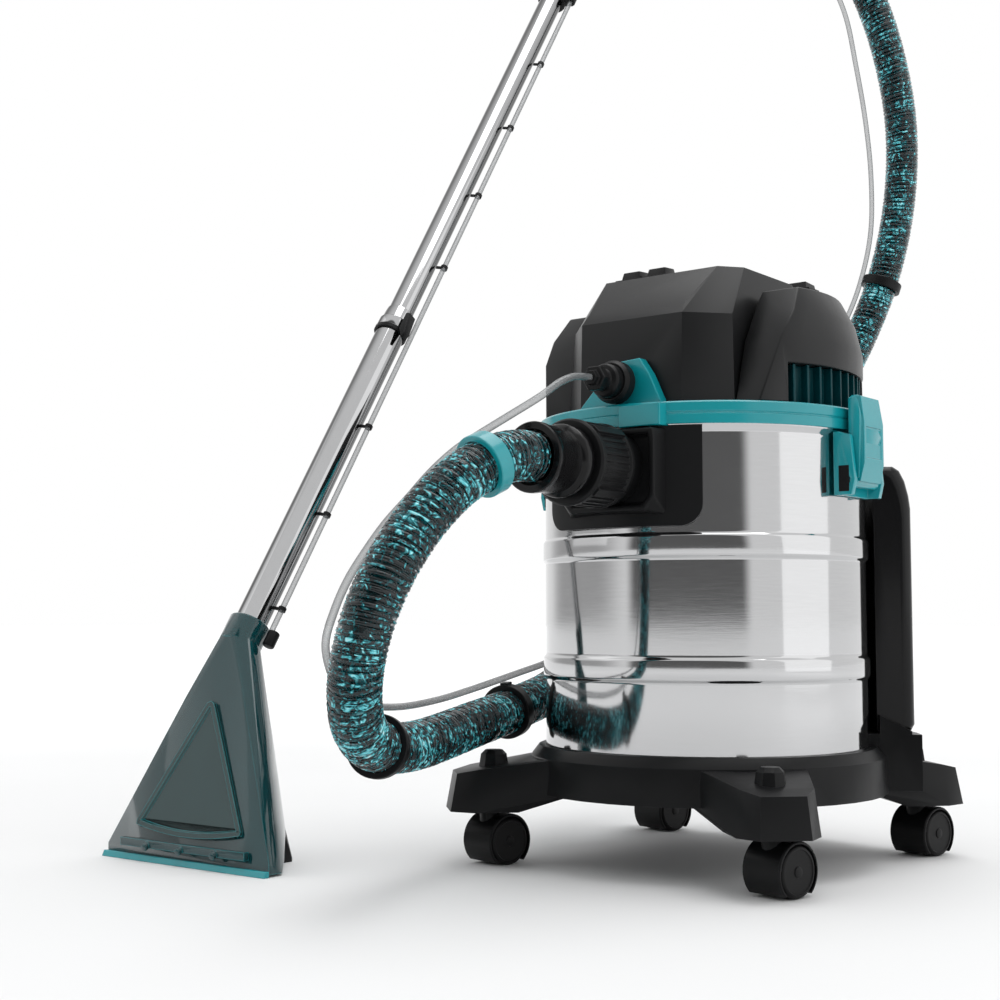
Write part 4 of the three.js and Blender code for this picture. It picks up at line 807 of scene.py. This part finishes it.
# ------------------------------------------------------------------ wand, drawn along +Z from its neck
WAND_X = -356
WAND_LEAN = 32.7
LOWER_R = 15.6
UPPER_R = 13.6
LOWER_LENGTH = 388
UPPER_START = 340
UPPER_END = 965
LINE_X = 22.5
LINE_Y = 9.5
LINE_R = 2.8
on_wand = at(WAND_X, -252, 213) @ turn(-WAND_LEAN, "X")


def tube(radius, low, high, wall=1.6):
    return turned([(radius - wall, low), (radius - 0.4, low), (radius, low + 0.4), (radius, high - 0.4),
                   (radius - 0.4, high), (radius - wall, high), (radius - wall, low)], 96)


piece("lower_tube", moved(tube(LOWER_R, -8, LOWER_LENGTH), on_wand), "machine", CHROME, ["wand_tube_lower"])
piece("upper_tube", moved(tube(UPPER_R, UPPER_START, UPPER_END), on_wand), "machine", CHROME,
      ["wand_tube_upper"])
tube_end = LOWER_LENGTH          # where the lower tube ends and the upper one slides out
coupling_outline = [(LOWER_R + 0.3, tube_end - 9), (LOWER_R + 1.5, tube_end - 9), (LOWER_R + 1.9, tube_end - 8.4),
                    (LOWER_R + 1.9, tube_end + 1.4), (LOWER_R + 1.2, tube_end + 2.2), (UPPER_R + 2.2, tube_end + 3),
                    (UPPER_R + 1.8, tube_end + 12), (UPPER_R + 1.2, tube_end + 17.4), (UPPER_R + 0.3, tube_end + 18),
                    (UPPER_R + 0.3, tube_end + 0.3), (LOWER_R + 0.3, tube_end + 0.3), (LOWER_R + 0.3, tube_end - 9)]
piece("coupling_turned", moved(turned(coupling_outline, 96), on_wand), "machine", CHROME,
      ["wand_coupling"], crease=35)
seal_outline = [(LOWER_R + 0.3, tube_end - 14), (LOWER_R + 2.2, tube_end - 14),
                (LOWER_R + 2.6, tube_end - 13.5), (LOWER_R + 2.6, tube_end - 10),
                (LOWER_R + 2.2, tube_end - 9.5), (LOWER_R + 0.3, tube_end - 9.5), (LOWER_R + 0.3, tube_end - 14)]
piece("coupling_seal", moved(turned(seal_outline, 96), on_wand), "machine", SATIN_BLACK,
      crease=35)
softened("clip_lever", "clip_lever", SATIN_BLACK, 1.2, 25)

wand_line = moved(disc(LINE_R, 4.3, 939.7, 0.3, 32), at(LINE_X, LINE_Y, 0))
piece("wand_line_clear", moved(wand_line, on_wand), "machine", CLEAR_TUBE, ["wand_line"])
TIE_FIRST = 30
TIE_PITCH = 112
for number in range(8):
    height = TIE_FIRST + TIE_PITCH * number
    if abs(height - LOWER_LENGTH) < 30:
        continue
    tie = ring(LINE_R + 0.1, LINE_R + 1.3, height - 2, height + 2, 32)
    bridge = block((-9.5, -0.9, height - 1.6), (-LINE_R - 0.2, 0.9, height + 1.6))
    shape = moved(joined(tie, bridge), at(LINE_X, LINE_Y, 0) @ turn(18, "Z"))
    piece(f"wand_tie_{number + 1}", moved(shape, on_wand), "machine", SATIN_BLACK, soft=0.3)

piece("handle_moulded", cad_shape("wand_handle"), "machine", SATIN_BLACK, ["wand_handle"],
      soft=0.9, crease=35)
softened("trigger", "trigger", TEAL, 1.0, 30)
softened("hose_swivel_cuff", "hose_swivel", GLOSS_BLACK, 0.8, 30)

# ------------------------------------------------------------------ carpet nozzle
softened("nozzle_body", "machine", CLEAR_TEAL, 2.0, 20, 4)
LIP_Y = -325
FACE_TILT = math.degrees(math.atan2(33, 138))
on_face = at(WAND_X, LIP_Y - 0.3, 12) @ turn(90 - FACE_TILT, "X")
window_outline = [(70 * i / 8, 20 - 7 * (1 - (i / 8) ** 2)) for i in range(-8, 9)]
window_outline += [(70.5, 24), (7, 133), (4.5, 137), (0, 139), (-4.5, 137), (-7, 133), (-70.5, 24)]
window = prism(window_outline, 0, 3.4)
recessed(window, [f for f in window.faces if f.normal.z > 0.99], border=5, slope=1.5, depth=2.2)
piece("window_raised", moved(window, on_face), "machine", WINDOW_TEAL, ["nozzle_window"], soft=0.8)
softened("spray_bar", "machine", CLEAR_TEAL, 0.6, 30)
lip_low, lip_high = span("suction_lip")
lip = hull([(x, y, z) for x in (lip_low.x, lip_high.x) for y, z in (
    (lip_high.y, 0), (lip_high.y, 5.5), (lip_low.y, 0), (lip_low.y + 2.5, 5.5))])
piece("suction_lip_strip", lip, "machine", TEAL, ["suction_lip"], soft=0.8)
softened("nozzle_skid", "machine", SATIN_BLACK, 1.5, 25)
softened("nozzle_fitting", "machine", SATIN_BLACK, 0.6, 30)

# ------------------------------------------------------------------ studio
FLOOR_R = 60

floor_shape = bmesh.new()
bmesh.ops.create_circle(floor_shape, cap_ends=True, segments=96, radius=FLOOR_R / MM)
floor_finish = Finish("studio floor", Roughness=0.75, Specular_IOR_Level=0.1, Emission_Strength=1.0)
away = floor_finish.node("ShaderNodeVectorMath", {"operation": "LENGTH"}, {0: floor_finish.place}, output="Value")
pale = floor_finish.mix(floor_finish.noise(2, 2), (0.80, 0.803, 0.806), (0.83, 0.833, 0.836))
floor_finish.shine("Base Color", pale)
# painted light: the floor glows, from nothing within 0.9 m of the middle to full at 3.2 m, so that the far floor
# stays pale
floor_finish.shine("Emission Color", floor_finish.mix(away.within(0.9, 3.2), (0.0, 0.0, 0.0), (0.34, 0.34, 0.34)))
floor_mesh = bpy.data.meshes.new("floor")
bmesh.ops.scale(floor_shape, vec=(MM, MM, MM), verts=floor_shape.verts)
floor_shape.to_mesh(floor_mesh)
floor_mesh.materials.append(floor_finish.material)
floor = bpy.data.objects.new("floor", floor_mesh)
bpy.context.scene.collection.objects.link(floor)


def soft_light(name, place, target, size, power):
    data = bpy.data.lights.new(name, "AREA")
    data.shape = "RECTANGLE"
    data.size, data.size_y = size
    data.energy = power
    lamp = bpy.data.objects.new(name, data)
    lamp.location = place
    lamp.rotation_euler = (Vector(target) - Vector(place)).to_track_quat("-Z", "Y").to_euler()
    bpy.context.scene.collection.objects.link(lamp)


MIDDLE = (-0.15, 0, 0.35)
soft_light("top box", (0.2, 0.3, 2.6), MIDDLE, (2.2, 1.6), 26)
soft_light("left box", (-2.4, -1.6, 1.6), MIDDLE, (2.0, 2.4), 6)
soft_light("right box", (2.4, 0.6, 1.2), MIDDLE, (2.0, 2.4), 7)


def studio_air():
    """Pale air all round, with a dark side in front of the machine and a grey one at its left to mirror."""
    world = bpy.data.worlds.new("studio")
    world.use_nodes = True
    bpy.context.scene.world = world
    tree = world.node_tree
    sight = tree.nodes.new("ShaderNodeTexCoord")

    def side(direction, edge, middle, darkest):
        across = tree.nodes.new("ShaderNodeVectorMath")
        across.operation = "DOT_PRODUCT"
        across.inputs[1].default_value = direction
        tree.links.new(sight.outputs["Generated"], across.inputs[0])
        shade = tree.nodes.new("ShaderNodeMapRange")
        shade.interpolation_type = "SMOOTHSTEP"
        for name, value in (("From Min", edge), ("From Max", middle), ("To Min", 1.0), ("To Max", darkest)):
            shade.inputs[name].default_value = value
        tree.links.new(across.outputs["Value"], shade.inputs["Value"])
        return shade.outputs["Result"]

    both = tree.nodes.new("ShaderNodeMath")
    both.operation = "MULTIPLY"
    tree.links.new(side((0.32, -0.948, 0), 0.70, 0.80, 0.15), both.inputs[0])
    tree.links.new(side((-0.94, -0.34, 0), 0.72, 0.96, 0.50), both.inputs[1])
    back = tree.nodes["Background"]
    tree.links.new(both.outputs[0], back.inputs["Color"])
    back.inputs["Strength"].default_value = 1.0


studio_air()
bpy.context.scene.view_settings.view_transform = "Standard"
